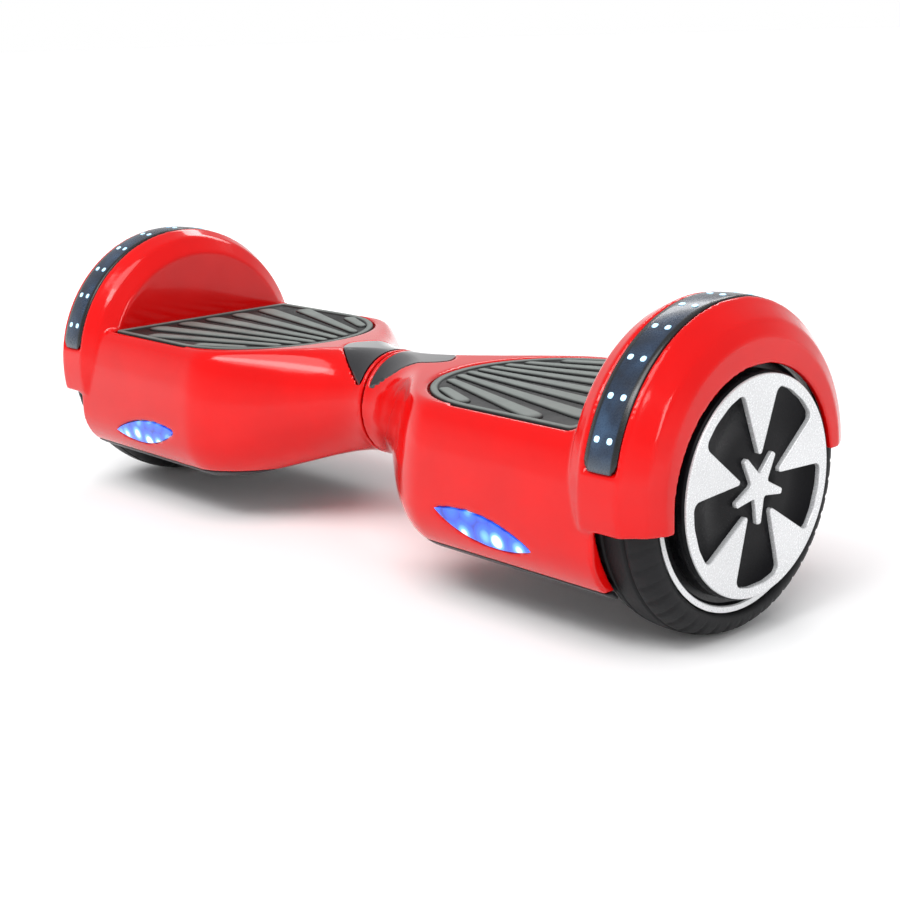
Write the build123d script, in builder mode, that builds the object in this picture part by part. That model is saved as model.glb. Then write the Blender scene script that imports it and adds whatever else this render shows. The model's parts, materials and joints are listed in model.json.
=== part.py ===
"""Self balancing hoverboard: two hinged halves, each with a hub-motor wheel and a foot pad.

Millimetres. +X towards the right wheel, -Y towards the headlights, +Z up.
The origin is on the ground under the middle of the board. Each half is drawn on the
+X side, and the left half is its mirror image.
"""

from build123d import *
from math import cos, degrees, radians, sin
import os

# ---- driving dimensions -------------------------------------------------------------
TYRE_RADIUS = 85.0
TYRE_WIDTH = 42.0
TYRE_INNER_RADIUS = TYRE_RADIUS - 21.0
WHEEL_CENTRE_X = 257.0

PIVOT_Z = TYRE_RADIUS + 3.0
NECK_RADIUS = 34.0
NECK_GAP = 1.6
FLARE_START_X = 10.0
FLARE_END_X = 118.0
BODY_HALF_DEPTH = TYRE_RADIUS + 6.0
BODY_WIDEST_Z = TYRE_RADIUS - 23.0
BODY_BOTTOM_Z = TYRE_RADIUS - 55.0
DECK_TOP_Z = TYRE_RADIUS + 35.0
DECK_FLAT_HALF = BODY_HALF_DEPTH - 15.0
FLOOR_FLAT_HALF = 60.0
SKIRT_END_X = WHEEL_CENTRE_X - 7.0
PARTING_Z = BODY_BOTTOM_Z + 8.0
PARTING_GAP = 0.2
SHELL_WALL = 3.0

FENDER_RISE = 5.0
FENDER_CLEARANCE = 4.5
FENDER_WALL = 4.0
FENDER_FACE_RADIUS = TYRE_INNER_RADIUS + 10.0
OPENING_RADIUS = TYRE_INNER_RADIUS + 3.0
OPENING_DROP = 2.0
FENDER_CUT_DROP = 11.0
FENDER_REAR_RISE = 7.0
FENDER_TYRE_GAP = 2.5
WELL_GAP = 10.0

STRIP_WIDTH = 22.0
STRIP_DEPTH = 2.4
STRIP_PROUD = 0.3
STRIP_START_DEG = 9.5
LIGHT_BOARD_THICKNESS = 0.6

PAD_RADIUS = 76.0
PAD_CENTRE_X = 142.0
PAD_THICKNESS = 5.6
PAD_PROUD = 0.8
PAD_TRAVEL = 1.5
PAD_GAP = 0.4
PAD_LEDGE = 6.0
PAD_LEDGE_THICKNESS = 3.0

LAMP_START_X = 131.0
LAMP_LENGTH = 75.0
LAMP_INNER_Z = BODY_WIDEST_Z + 1.0
LAMP_OUTER_Z = BODY_WIDEST_Z - 9.0
LAMP_UPPER_BULGE = 7.0
LAMP_LOWER_BULGE = 9.0

WINDOW_START_X = 5.0
WINDOW_LENGTH = 42.0
WINDOW_HALF_WIDTH = NECK_RADIUS - 4.0

AXLE_RADIUS = 8.0
AXLE_FLAT_HEIGHT = 12.0
AXLE_SHOULDER_RADIUS = 10.0
RUNNING_GAP = 0.05
BEARING_RADIUS = 16.0
BEARING_WIDTH = 9.0
STATOR_RADIUS = TYRE_INNER_RADIUS - 9.0
STATOR_WIDTH = 16.0
STATOR_SLOTS = 18
MAGNET_GAP = 0.8
MAGNET_THICKNESS = 3.0

RIM_FLANGE_RADIUS = TYRE_INNER_RADIUS + 6.0
RIM_FLANGE_WIDTH = 4.0
RIM_WEB_THICKNESS = 4.0
COVER_THICKNESS = 3.0
CAP_RADIUS = TYRE_INNER_RADIUS - 2.5
CAP_DEPTH = 11.5
CAP_WALL = 3.0
TRIM_THICKNESS = 1.2
TRIM_RING_WIDTH = 5.0
SPOKE_COUNT = 5
SPOKE_TIP_RADIUS = 14.0
SPOKE_RIM_HALF_ANGLE = 16.0
STAR_RADIUS = 20.0

FRAME_HALF_WIDTH = 64.0
FRAME_PLATE = 4.0
FRAME_WALL = 4.0
FRAME_TOP_Z = TYRE_RADIUS + 15.0
FRAME_BOTTOM_Z = TYRE_RADIUS - 45.0
FRAME_START_X = 100.0
ARM_START_X = 44.0
ARM_BOTTOM_Z = TYRE_RADIUS - 13.0
ARM_NECK_HALF = 22.0
ARM_END_HALF = 52.0
FRAME_BOSS_RADIUS = 5.5
FRAME_BOSS_PITCH = 46.0
SCREW_RADIUS = 2.0
SCREW_HEAD_RADIUS = 3.6
SCREW_HEAD_HEIGHT = 2.4
CLAMP_LENGTH = 26.0
CLAMP_HALF_WIDTH = 26.0
CLAMP_THICKNESS = 10.0

SHAFT_RADIUS = 12.5
SHAFT_BORE_RADIUS = SHAFT_RADIUS - 3.5
TUBE_WALL = 5.0
TUBE_LENGTH = 54.0
BUSH_WALL = 1.5
CIRCLIP_WIDTH = 1.6
CIRCLIP_RADIUS = SHAFT_RADIUS + 2.5

BATTERY_LENGTH = 80.0
BATTERY_WIDTH = 100.0
BATTERY_HEIGHT = 34.0
BATTERY_START_X = 108.0
STRAP_WIDTH = 22.0
STRAP_THICKNESS = 1.2

BOARD_THICKNESS = 1.6
MAIN_BOARD_LENGTH = 78.0
MAIN_BOARD_WIDTH = 96.0
MAIN_BOARD_START_X = 108.0
BOARD_STANDOFF = 4.0
GYRO_BOARD_LENGTH = 32.0

PORT_X = 128.0
PORT_Z = BODY_WIDEST_Z + 4.0
PORT_RADIUS = 13.0
PORT_BORE_RADIUS = 8.0
PORT_BORE_LENGTH = 10.0
PORT_DEPTH = 20.0
SWITCH_X = 178.0
SWITCH_RADIUS = 12.0
BUTTON_RADIUS = 8.5
BUTTON_GAP = 0.3
CAP_FLAP_THICKNESS = 1.8
CABLE_RADIUS = 2.5

SECTION_BEND = 0.56
FLARE_STEPS = 6
LENS_GAP = 0.25
LAMP_REACH = 12.0
AXLE_HOLE_RADIUS = 8.4
BEARING_SEAT = 5.0
RIM_LIP_WIDTH = 3.0
COVER_SCREW_RADIUS = 1.5
COVER_SCREW_LENGTH = 12.0
STAR_HUB_RADIUS = 5.5
CLAMP_SCREW_RADIUS = 2.5
CLAMP_HEAD_HEIGHT = 3.0
SWITCH_POST_Y = 20.0
FLAP_PIN_RADIUS = 0.8
FLAP_BARREL_RADIUS = 1.5
EAR_START = 3.0

# ---- derived values -----------------------------------------------------------------
WHEEL_Z = TYRE_RADIUS
FENDER_Z = WHEEL_Z + FENDER_RISE
FENDER_INNER_RADIUS = TYRE_RADIUS + FENDER_CLEARANCE
FENDER_RADIUS = FENDER_INNER_RADIUS + FENDER_WALL
FENDER_CUT_Z = WHEEL_Z - FENDER_CUT_DROP
FENDER_REAR_CUT_Z = WHEEL_Z + FENDER_REAR_RISE
TYRE_INNER_X = WHEEL_CENTRE_X - TYRE_WIDTH / 2
TYRE_OUTER_X = WHEEL_CENTRE_X + TYRE_WIDTH / 2
WELL_X = TYRE_INNER_X - WELL_GAP
END_WALL_X = WELL_X - SHELL_WALL
FENDER_OUTER_X = TYRE_OUTER_X + FENDER_TYRE_GAP + FENDER_WALL
STRIP_START_X = (END_WALL_X + FENDER_OUTER_X - STRIP_WIDTH) / 2 + 2.0
STRIP_END_X = STRIP_START_X + STRIP_WIDTH
CHANNEL_RADIUS = FENDER_RADIUS - STRIP_DEPTH
NECK_START_X = NECK_GAP / 2
PAD_END_X = END_WALL_X - PAD_GAP
PAD_TOP_Z = DECK_TOP_Z + PAD_PROUD
PAD_BOTTOM_Z = PAD_TOP_Z - PAD_THICKNESS
LEDGE_Z = PAD_BOTTOM_Z - PAD_TRAVEL - 0.2
RIM_OUTER_X = TYRE_OUTER_X - 2.0
RIM_INNER_X = TYRE_INNER_X + COVER_THICKNESS
BARREL_RADIUS = STATOR_RADIUS + MAGNET_GAP + MAGNET_THICKNESS
STATOR_X = WHEEL_CENTRE_X - STATOR_WIDTH / 2 - 3.0
INNER_BEARING_X = STATOR_X - BEARING_WIDTH - 2.5
OUTER_BEARING_X = STATOR_X + STATOR_WIDTH + 2.5
WEB_X = OUTER_BEARING_X + BEARING_WIDTH - RIM_WEB_THICKNESS
CAP_BACK_X = WEB_X + RIM_WEB_THICKNESS + 0.2
CAP_FACE_X = CAP_BACK_X + CAP_DEPTH
CLAMP_X = END_WALL_X - 1.0 - FRAME_WALL - CLAMP_LENGTH
AXLE_START_X = CLAMP_X + 1.0
AXLE_END_X = OUTER_BEARING_X + BEARING_WIDTH + 0.5
BOSS_Y = FRAME_HALF_WIDTH - 3.0
BOSS_XS = [END_WALL_X - 12.0 - i * FRAME_BOSS_PITCH for i in (0, 1, 2)]
FLOOR_Z = BODY_BOTTOM_Z + SHELL_WALL
REAR_Y = BODY_HALF_DEPTH
FRAME_END_X = END_WALL_X - 1.0
FLAT_BOTTOM_Z = WHEEL_Z - AXLE_FLAT_HEIGHT / 2
FLAT_TOP_Z = WHEEL_Z + AXLE_FLAT_HEIGHT / 2
CLAMP_SCREWS = [(CLAMP_X + dx, y) for dx in (5.5, 16.0) for y in (-18.0, 18.0)]
TUBE_START_X = 2.0
TUBE_RADIUS = SHAFT_RADIUS + RUNNING_GAP + BUSH_WALL + TUBE_WALL
SHAFT_END_X = TUBE_START_X + TUBE_LENGTH
CIRCLIP_X = -SHAFT_END_X - 0.3 - CIRCLIP_WIDTH
SHAFT_START_X = CIRCLIP_X - 2.0
GROOVE_RADIUS = SHAFT_RADIUS - 1.0
RIM_LIP_RADIUS = RIM_FLANGE_RADIUS - RIM_LIP_WIDTH
SCREW_SEAT_Z = FLOOR_Z + 0.5
SCREW_TOP_Z = FRAME_BOTTOM_Z + 18.0
CLAMP_SCREW_END_Z = FRAME_BOTTOM_Z + 20.0
MAIN_BOARD_Z = FRAME_BOTTOM_Z + FRAME_PLATE + BOARD_STANDOFF
GYRO_BOARD_X = (BOSS_XS[1] + BOSS_XS[2]) / 2
PLUG_X = MAIN_BOARD_START_X + 20.0
PLUG_FACE_X = BATTERY_START_X + 6.0
BATTERY_Z = FRAME_BOTTOM_Z + FRAME_PLATE + 0.5
FLAP_AXIS_Y = REAR_Y + 0.9
FLAP_AXIS_Z = PORT_Z + PORT_RADIUS + 1.8
FLAP_PLANE = Plane(origin=(0, FLAP_AXIS_Y, FLAP_AXIS_Z), x_dir=(0, 1, 0), z_dir=(1, 0, 0))
AXLE_PLANE = Plane(origin=(0, 0, WHEEL_Z), x_dir=(0, 1, 0), z_dir=(1, 0, 0))
OPENING_Z = WHEEL_Z - OPENING_DROP
OPENING_PLANE = Plane(origin=(0, 0, OPENING_Z), x_dir=(0, 1, 0), z_dir=(1, 0, 0))
PIVOT_PLANE = Plane(origin=(0, 0, PIVOT_Z), x_dir=(0, 1, 0), z_dir=(1, 0, 0))


# ---- helpers ------------------------------------------------------------------------
def save(name, solid):
    """Label one finished piece and write it."""
    solid.label = name
    export_step(solid, f"parts/{name}.step")


def save_pair(stem, solid):
    """Write a piece of the right half and its mirror image on the left."""
    save(f"{stem}_left", mirror(solid, about=Plane.YZ))
    save(f"{stem}_right", solid)


def disc(plane, start, length, radius, bore=0.0):
    """A round piece or ring along X, from start to start + length."""
    with BuildPart() as piece:
        with BuildSketch(plane.offset(start)):
            Circle(radius)
            if bore:
                Circle(bore, mode=Mode.SUBTRACT)
        extrude(amount=length)
    return piece.part


def rear_disc(x, z, face_y, depth, radius, bore=0.0):
    """A round piece or ring along Y, from face_y inwards."""
    with BuildPart() as piece:
        with BuildSketch(Plane.XZ.offset(-face_y)):
            with Locations((x, z)):
                Circle(radius)
                if bore:
                    Circle(bore, mode=Mode.SUBTRACT)
        extrude(amount=depth)
    return piece.part


def post(x, y, z0, z1, radius):
    """A round post along Z."""
    with BuildPart() as piece:
        with BuildSketch(Plane.XY.offset(z0)):
            with Locations((x, y)):
                Circle(radius)
        extrude(amount=z1 - z0)
    return piece.part


def block(x0, x1, y0, y1, z0, z1):
    """A plain box between two corners."""
    with BuildPart() as piece:
        with Locations(((x0 + x1) / 2, (y0 + y1) / 2, (z0 + z1) / 2)):
            Box(x1 - x0, y1 - y0, z1 - z0)
    return piece.part


def spin(points, centre_z, arc=360.0, corner=0.0, round_from=0.0):
    """Turn an outline of (x, radius) points about an X axis at centre_z.

    Corners whose radius is round_from or more are rounded by corner. A part turn is
    centred on the top.
    """
    axis = Axis((0, 0, centre_z), (1, 0, 0))
    with BuildPart() as piece:
        with BuildSketch(Plane.XZ) as outline:
            with BuildLine():
                Polyline([(x, centre_z + r) for x, r in points], close=True)
            make_face()
            if corner:
                far = [v for v in outline.vertices() if v.Y > centre_z + round_from]
                fillet(far, corner)
        revolve(axis=axis, revolution_arc=arc)
    if arc == 360.0:
        return piece.part
    return piece.part.rotate(axis, -arc / 2)


def cable(points, radii):
    """A round cable along straight runs joined by arcs."""
    with BuildPart() as piece:
        with BuildLine() as route:
            FilletPolyline(*points, radius=radii)
        with BuildSketch(Plane(origin=route.line @ 0, z_dir=route.line % 0)):
            Circle(CABLE_RADIUS)
        sweep()
    return piece.part


# ---- the hollow body ----------------------------------------------------------------
def flare(x):
    """0 at the neck and 1 where the body has its full depth, with flat ends."""
    t = min(max((x - FLARE_START_X) / (FLARE_END_X - FLARE_START_X), 0.0), 1.0)
    return t * t * (3 - 2 * t)


def between(neck, body, x):
    return neck + (body - neck) * flare(x)


def body_section(x, inset):
    """The rounded outline of the body at x, moved in by inset."""
    half = between(NECK_RADIUS, BODY_HALF_DEPTH, x) - inset
    top = between(PIVOT_Z + NECK_RADIUS, DECK_TOP_Z, x) - inset
    floor = between(PIVOT_Z - NECK_RADIUS, BODY_BOTTOM_Z, x) + inset
    widest = between(PIVOT_Z, BODY_WIDEST_Z, x)
    top_flat = between(1.0, DECK_FLAT_HALF, x)
    floor_flat = between(1.0, FLOOR_FLAT_HALF, x)
    with BuildSketch(Plane.YZ.offset(x)) as section:
        with BuildLine():
            Line((-top_flat, top), (top_flat, top))
            for side in (1, -1):
                Bezier(
                    (side * top_flat, top),
                    (side * (top_flat + SECTION_BEND * (half - top_flat)), top),
                    (side * half, widest + SECTION_BEND * (top - widest)),
                    (side * half, widest),
                )
                Bezier(
                    (side * half, widest),
                    (side * half, widest + SECTION_BEND * (floor - widest)),
                    (side * (floor_flat + SECTION_BEND * (half - floor_flat)), floor),
                    (side * floor_flat, floor),
                )
            Line((-floor_flat, floor), (floor_flat, floor))
        make_face()
    return section.sketch


def body_solid(start, end, inset):
    """The flared body from start to end as one solid."""
    xs = [start + (FLARE_END_X - start) * i / FLARE_STEPS for i in range(FLARE_STEPS + 1)]
    with BuildPart() as body:
        loft([body_section(x, inset).face() for x in xs])
        extrude(body_section(FLARE_END_X, inset), amount=end - FLARE_END_X)
    return body.part


def fender_solid():
    """The arch over the wheel, still filled, above its ends: the rear one is higher."""
    outline = [
        (END_WALL_X, 0.0),
        (END_WALL_X, FENDER_RADIUS - 16.0),
        (END_WALL_X + 9.0, FENDER_RADIUS - 5.0),
        (STRIP_START_X - 2.0, FENDER_RADIUS),
        (STRIP_END_X + 2.0, FENDER_RADIUS),
        (FENDER_OUTER_X - 13.0, FENDER_RADIUS - 3.0),
        (FENDER_OUTER_X - 4.5, FENDER_RADIUS - 10.5),
        (FENDER_OUTER_X, FENDER_FACE_RADIUS),
        (FENDER_OUTER_X, 0.0),
    ]
    full = spin(outline, FENDER_Z, corner=4.0, round_from=FENDER_FACE_RADIUS - 8.0)
    reach = 2 * FENDER_RADIUS
    front = block(0, 2 * FENDER_OUTER_X, -reach, 0, FENDER_CUT_Z, FENDER_Z + reach)
    rear = block(0, 2 * FENDER_OUTER_X, 0, reach, FENDER_REAR_CUT_Z, FENDER_Z + reach)
    return full & (front + rear)


def well_solid():
    """The space for the wheel inside the arch, with the round opening in its outer face."""
    outline = [
        (WELL_X, 0.0),
        (WELL_X, FENDER_RADIUS - 19.0),
        (WELL_X + 8.0, FENDER_INNER_RADIUS - 4.0),
        (STRIP_START_X - 1.0, FENDER_INNER_RADIUS),
        (STRIP_END_X, FENDER_INNER_RADIUS),
        (FENDER_OUTER_X - FENDER_WALL - 4.0, FENDER_INNER_RADIUS - 7.0),
        (FENDER_OUTER_X - FENDER_WALL, FENDER_FACE_RADIUS + 3.0),
        (FENDER_OUTER_X - FENDER_WALL, 0.0),
    ]
    opening = disc(OPENING_PLANE, WHEEL_CENTRE_X, TYRE_WIDTH, OPENING_RADIUS)
    return spin(outline, FENDER_Z) + opening


def strip_ring(inner_radius, outer_radius, side_gap, end_gap):
    """A band in the fender's light channel, with gaps at its sides and ends."""
    x0 = STRIP_START_X + side_gap
    x1 = STRIP_END_X - side_gap
    outline = [(x0, inner_radius), (x0, outer_radius), (x1, outer_radius), (x1, inner_radius)]
    arc = 180.0 - 2 * STRIP_START_DEG - 2 * degrees(end_gap / FENDER_RADIUS)
    return spin(outline, FENDER_Z, arc=arc)


# ---- outlines of what is set into the body ------------------------------------------
def pad_prism(grow, z0, z1):
    """The pad's outline, a half round with a straight end at the fender, grown by grow."""
    radius = PAD_RADIUS + grow
    with BuildPart() as prism:
        with BuildSketch(Plane.XY.offset(z0)):
            with Locations((PAD_CENTRE_X, 0)):
                Circle(radius)
            with Locations(((PAD_CENTRE_X + PAD_END_X + grow) / 2, 0)):
                Rectangle(PAD_END_X + grow - PAD_CENTRE_X, 2 * radius)
            with Locations((PAD_END_X + grow + radius, 0)):
                Rectangle(2 * radius, 2 * radius, mode=Mode.SUBTRACT)
        extrude(amount=z1 - z0)
    return prism.part


def lamp_prism(grow):
    """The headlight's leaf outline, through the front wall of the body."""
    start = (LAMP_START_X - grow, LAMP_INNER_Z)
    end = (LAMP_START_X + LAMP_LENGTH + grow, LAMP_OUTER_Z)
    middle_x = LAMP_START_X + LAMP_LENGTH / 2
    middle_z = (LAMP_INNER_Z + LAMP_OUTER_Z) / 2
    with BuildPart() as prism:
        with BuildSketch(Plane.XZ.offset(BODY_HALF_DEPTH - 2 * LAMP_REACH)):
            with BuildLine():
                ThreePointArc(start, (middle_x, middle_z + LAMP_UPPER_BULGE + grow), end)
                ThreePointArc(end, (middle_x, middle_z - LAMP_LOWER_BULGE - grow), start)
            make_face()
        extrude(amount=3 * LAMP_REACH)
    return prism.part


def window_prism(grow):
    """The indicator window's shield outline, down through the top of the neck."""
    x0 = WINDOW_START_X - grow
    x1 = WINDOW_START_X + WINDOW_LENGTH + grow
    half = WINDOW_HALF_WIDTH + grow
    with BuildPart() as prism:
        with BuildSketch(Plane.XY.offset(PIVOT_Z)):
            with BuildLine():
                Line((x0, -half), (x0, half))
                for side in (1, -1):
                    Bezier((x0, side * half), (x0 + 0.45 * WINDOW_LENGTH, side * half * 0.8),
                           (x1 - 2.0, side * half * 0.5), (x1, 0))
            make_face()
        extrude(amount=2 * NECK_RADIUS)
    return prism.part


# ---- shells -------------------------------------------------------------------------
def upper_shell(outer, cavity, ports):
    """The red moulding: deck, neck, front and rear walls, and the arch over the wheel."""
    reach = 2 * FENDER_OUTER_X
    above = block(0, reach, -reach, reach, PARTING_Z, reach)
    end_wall = block(END_WALL_X, WELL_X, -BODY_HALF_DEPTH + 12, BODY_HALF_DEPTH - 12,
                     PARTING_Z, DECK_TOP_Z)
    ledge = pad_prism(PAD_LEDGE_THICKNESS, LEDGE_Z - PAD_LEDGE_THICKNESS, DECK_TOP_Z - 0.7)
    shell = (outer + fender_solid()) & above
    shell = shell - well_solid() - cavity
    shell = shell + end_wall + ledge
    shell = shell - pad_prism(PAD_GAP, LEDGE_Z, DECK_TOP_Z + NECK_RADIUS)
    shell = shell - pad_prism(-PAD_LEDGE, PIVOT_Z, DECK_TOP_Z + NECK_RADIUS)
    shell = shell - strip_ring(CHANNEL_RADIUS, FENDER_RADIUS + 5.0, 0.0, 0.0)
    shell = shell - disc(AXLE_PLANE, END_WALL_X - 1.0, SHELL_WALL + 2.0, AXLE_HOLE_RADIUS)
    shell = shell - lamp_prism(LENS_GAP)
    shell = shell - window_prism(LENS_GAP)
    if ports:
        shell = shell - rear_disc(PORT_X, PORT_Z, REAR_Y + 5, PORT_DEPTH, PORT_RADIUS)
        shell = shell - rear_disc(SWITCH_X, PORT_Z, REAR_Y + 5, PORT_DEPTH, SWITCH_RADIUS)
    return shell


def lower_shell(outer, cavity):
    """The black bottom tray, with bosses for the screws that hold it to the frame."""
    reach = 2 * FENDER_OUTER_X
    below = block(0, reach, -reach, reach, 0, PARTING_Z - PARTING_GAP)
    tray = (outer & below) - well_solid()
    tray = tray - (cavity & below)
    for x in BOSS_XS:
        for y in (-BOSS_Y, BOSS_Y):
            tray = tray + post(x, y, FLOOR_Z - 1.0, FRAME_BOTTOM_Z, FRAME_BOSS_RADIUS)
            tray = tray - post(x, y, 0, FRAME_BOTTOM_Z + 1.0, SCREW_RADIUS)
            tray = tray - post(x, y, 0, SCREW_SEAT_Z, SCREW_HEAD_RADIUS + 0.1)
    return tray


def shell_screws():
    """The long screws up through the bottom tray into the frame."""
    screws = []
    for x in BOSS_XS:
        for y in (-BOSS_Y, BOSS_Y):
            head = post(x, y, SCREW_SEAT_Z - SCREW_HEAD_HEIGHT, SCREW_SEAT_Z, SCREW_HEAD_RADIUS)
            socket = post(x, y, 0, SCREW_SEAT_Z - SCREW_HEAD_HEIGHT / 2, SCREW_RADIUS * 0.8)
            shank = post(x, y, SCREW_SEAT_Z, SCREW_TOP_Z, SCREW_RADIUS)
            screws.append(head - socket + shank)
    return Compound(children=screws)


# ---- frame --------------------------------------------------------------------------
def arm_plan(grow):
    """The plan of the frame's arm: narrow at the neck, and as wide as the tub can take."""
    x0 = ARM_START_X - grow
    x1 = FRAME_START_X + FRAME_WALL
    neck = ARM_NECK_HALF + grow
    end = ARM_END_HALF + grow
    with BuildSketch() as plan:
        with BuildLine():
            Polyline((x0, -neck), (x1, -end), (x1, end), (x0, neck), close=True)
        make_face()
    return plan.sketch


def frame(tube_bore):
    """The cast half frame: an open tub with an axle seat, an arm and the pivot tube."""
    half = FRAME_HALF_WIDTH
    tub_floor = FRAME_BOTTOM_Z + FRAME_PLATE
    arm_floor = ARM_BOTTOM_Z + FRAME_PLATE
    above = FRAME_TOP_Z + 1.0
    with BuildPart() as cast:
        add(block(FRAME_START_X, FRAME_END_X, -half, half, FRAME_BOTTOM_Z, FRAME_TOP_Z))
        with BuildSketch(Plane.XY.offset(ARM_BOTTOM_Z)):
            add(arm_plan(0.0))
        extrude(amount=FRAME_TOP_Z - ARM_BOTTOM_Z)
        add(block(FRAME_START_X + FRAME_WALL, FRAME_END_X - FRAME_WALL, FRAME_WALL - half,
                  half - FRAME_WALL, tub_floor, above), mode=Mode.SUBTRACT)
        with BuildSketch(Plane.XY.offset(arm_floor)):
            add(arm_plan(-FRAME_WALL))
        extrude(amount=above - arm_floor, mode=Mode.SUBTRACT)
        with BuildSketch(PIVOT_PLANE.offset(TUBE_START_X)):
            Circle(TUBE_RADIUS)
        extrude(amount=TUBE_LENGTH)
        with BuildSketch(PIVOT_PLANE):
            Circle(tube_bore)
        extrude(amount=TUBE_START_X + TUBE_LENGTH + 1.0, mode=Mode.SUBTRACT)
        with BuildSketch(PIVOT_PLANE.offset(TUBE_START_X + TUBE_LENGTH)):
            Circle(CIRCLIP_RADIUS + 0.8)
        extrude(amount=CIRCLIP_WIDTH + 3.0, mode=Mode.SUBTRACT)
        add(block(CLAMP_X, FRAME_END_X, -CLAMP_HALF_WIDTH, CLAMP_HALF_WIDTH,
                  FRAME_BOTTOM_Z, FLAT_TOP_Z))
        add(block(CLAMP_X - 1.0, FRAME_END_X + 1.0, -AXLE_RADIUS, AXLE_RADIUS,
                  FLAT_BOTTOM_Z, above), mode=Mode.SUBTRACT)
        for x in BOSS_XS:
            for y in (-BOSS_Y, BOSS_Y):
                add(post(x, y, FRAME_BOTTOM_Z, LEDGE_Z - PAD_LEDGE_THICKNESS, FRAME_BOSS_RADIUS))
                add(post(x, y, 0, SCREW_TOP_Z, SCREW_RADIUS), mode=Mode.SUBTRACT)
        for x, y in CLAMP_SCREWS:
            add(post(x, y, CLAMP_SCREW_END_Z, above, CLAMP_SCREW_RADIUS), mode=Mode.SUBTRACT)
    return cast.part


def axle_clamp():
    """The block that closes the axle seat from above."""
    clamp = block(CLAMP_X, CLAMP_X + CLAMP_LENGTH - 2.0, -CLAMP_HALF_WIDTH, CLAMP_HALF_WIDTH,
                  FLAT_TOP_Z, FLAT_TOP_Z + CLAMP_THICKNESS)
    for x, y in CLAMP_SCREWS:
        clamp = clamp - post(x, y, 0, FRAME_TOP_Z + CLAMP_THICKNESS, CLAMP_SCREW_RADIUS)
    return clamp


def clamp_screws():
    """The four screws that pull the clamp down on the axle."""
    screws = []
    seat = FLAT_TOP_Z + CLAMP_THICKNESS
    for x, y in CLAMP_SCREWS:
        head = post(x, y, seat, seat + CLAMP_HEAD_HEIGHT, 1.8 * CLAMP_SCREW_RADIUS)
        socket = post(x, y, seat + CLAMP_HEAD_HEIGHT / 2, FRAME_TOP_Z + seat, CLAMP_SCREW_RADIUS)
        shank = post(x, y, CLAMP_SCREW_END_Z + 1.0, seat, CLAMP_SCREW_RADIUS)
        screws.append(head - socket + shank)
    return Compound(children=screws)


# ---- pivot --------------------------------------------------------------------------
def pivot_shaft():
    """The hollow shaft fixed in the right frame, with a ring groove at its left end."""
    shaft = disc(PIVOT_PLANE, SHAFT_START_X, SHAFT_END_X - SHAFT_START_X, SHAFT_RADIUS,
                 SHAFT_BORE_RADIUS)
    groove = disc(PIVOT_PLANE, CIRCLIP_X, CIRCLIP_WIDTH, SHAFT_RADIUS + 1.0, GROOVE_RADIUS)
    return shaft - groove


def pivot_bush():
    """The plain bush in the left frame's tube, which turns on the shaft."""
    return disc(PIVOT_PLANE, -TUBE_START_X - TUBE_LENGTH, TUBE_LENGTH,
                SHAFT_RADIUS + RUNNING_GAP + BUSH_WALL, SHAFT_RADIUS + RUNNING_GAP)


def circlip():
    """The open ring that keeps the shaft in the left frame."""
    ring = disc(PIVOT_PLANE, CIRCLIP_X, CIRCLIP_WIDTH, CIRCLIP_RADIUS, GROOVE_RADIUS)
    gap = block(CIRCLIP_X - 1, CIRCLIP_X + CIRCLIP_WIDTH + 1, -3, 3, PIVOT_Z - 2 * CIRCLIP_RADIUS,
                PIVOT_Z)
    return ring - gap


# ---- wheel --------------------------------------------------------------------------
def tyre():
    """The solid tyre, with rounded shoulders and bead."""
    half = TYRE_WIDTH / 2
    bead = half - 5.0
    outline = [
        (WHEEL_CENTRE_X - bead + 2.0, TYRE_INNER_RADIUS),
        (WHEEL_CENTRE_X - bead + 2.0, RIM_FLANGE_RADIUS + 0.3),
        (WHEEL_CENTRE_X - half, RIM_FLANGE_RADIUS + 1.5),
        (WHEEL_CENTRE_X - half, TYRE_RADIUS - 11.0),
        (WHEEL_CENTRE_X - half + 3.5, TYRE_RADIUS - 4.5),
        (WHEEL_CENTRE_X - half + 12.0, TYRE_RADIUS - 0.7),
        (WHEEL_CENTRE_X, TYRE_RADIUS),
        (WHEEL_CENTRE_X + half - 12.0, TYRE_RADIUS - 0.7),
        (WHEEL_CENTRE_X + half - 3.5, TYRE_RADIUS - 4.5),
        (WHEEL_CENTRE_X + half, TYRE_RADIUS - 11.0),
        (WHEEL_CENTRE_X + half, RIM_FLANGE_RADIUS + 1.5),
        (RIM_OUTER_X - RIM_FLANGE_WIDTH, RIM_FLANGE_RADIUS + 0.3),
        (RIM_OUTER_X - RIM_FLANGE_WIDTH, TYRE_INNER_RADIUS),
    ]
    return spin(outline, WHEEL_Z, corner=1.5, round_from=RIM_FLANGE_RADIUS + 2.0)


def rim():
    """The motor drum: barrel, outer flange, web and outer bearing seat."""
    outline = [
        (RIM_INNER_X, BARREL_RADIUS),
        (RIM_INNER_X, TYRE_INNER_RADIUS),
        (RIM_OUTER_X - RIM_FLANGE_WIDTH, TYRE_INNER_RADIUS),
        (RIM_OUTER_X - RIM_FLANGE_WIDTH, RIM_FLANGE_RADIUS),
        (RIM_OUTER_X, RIM_FLANGE_RADIUS),
        (RIM_OUTER_X, RIM_LIP_RADIUS),
        (WEB_X + RIM_WEB_THICKNESS, RIM_LIP_RADIUS - 2.0),
        (WEB_X + RIM_WEB_THICKNESS, BEARING_RADIUS),
        (OUTER_BEARING_X, BEARING_RADIUS),
        (OUTER_BEARING_X, BEARING_RADIUS + BEARING_SEAT),
        (WEB_X, BEARING_RADIUS + BEARING_SEAT),
        (WEB_X, BARREL_RADIUS),
    ]
    drum = spin(outline, WHEEL_Z)
    return drum - cover_screw_set(0.0)


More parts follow.
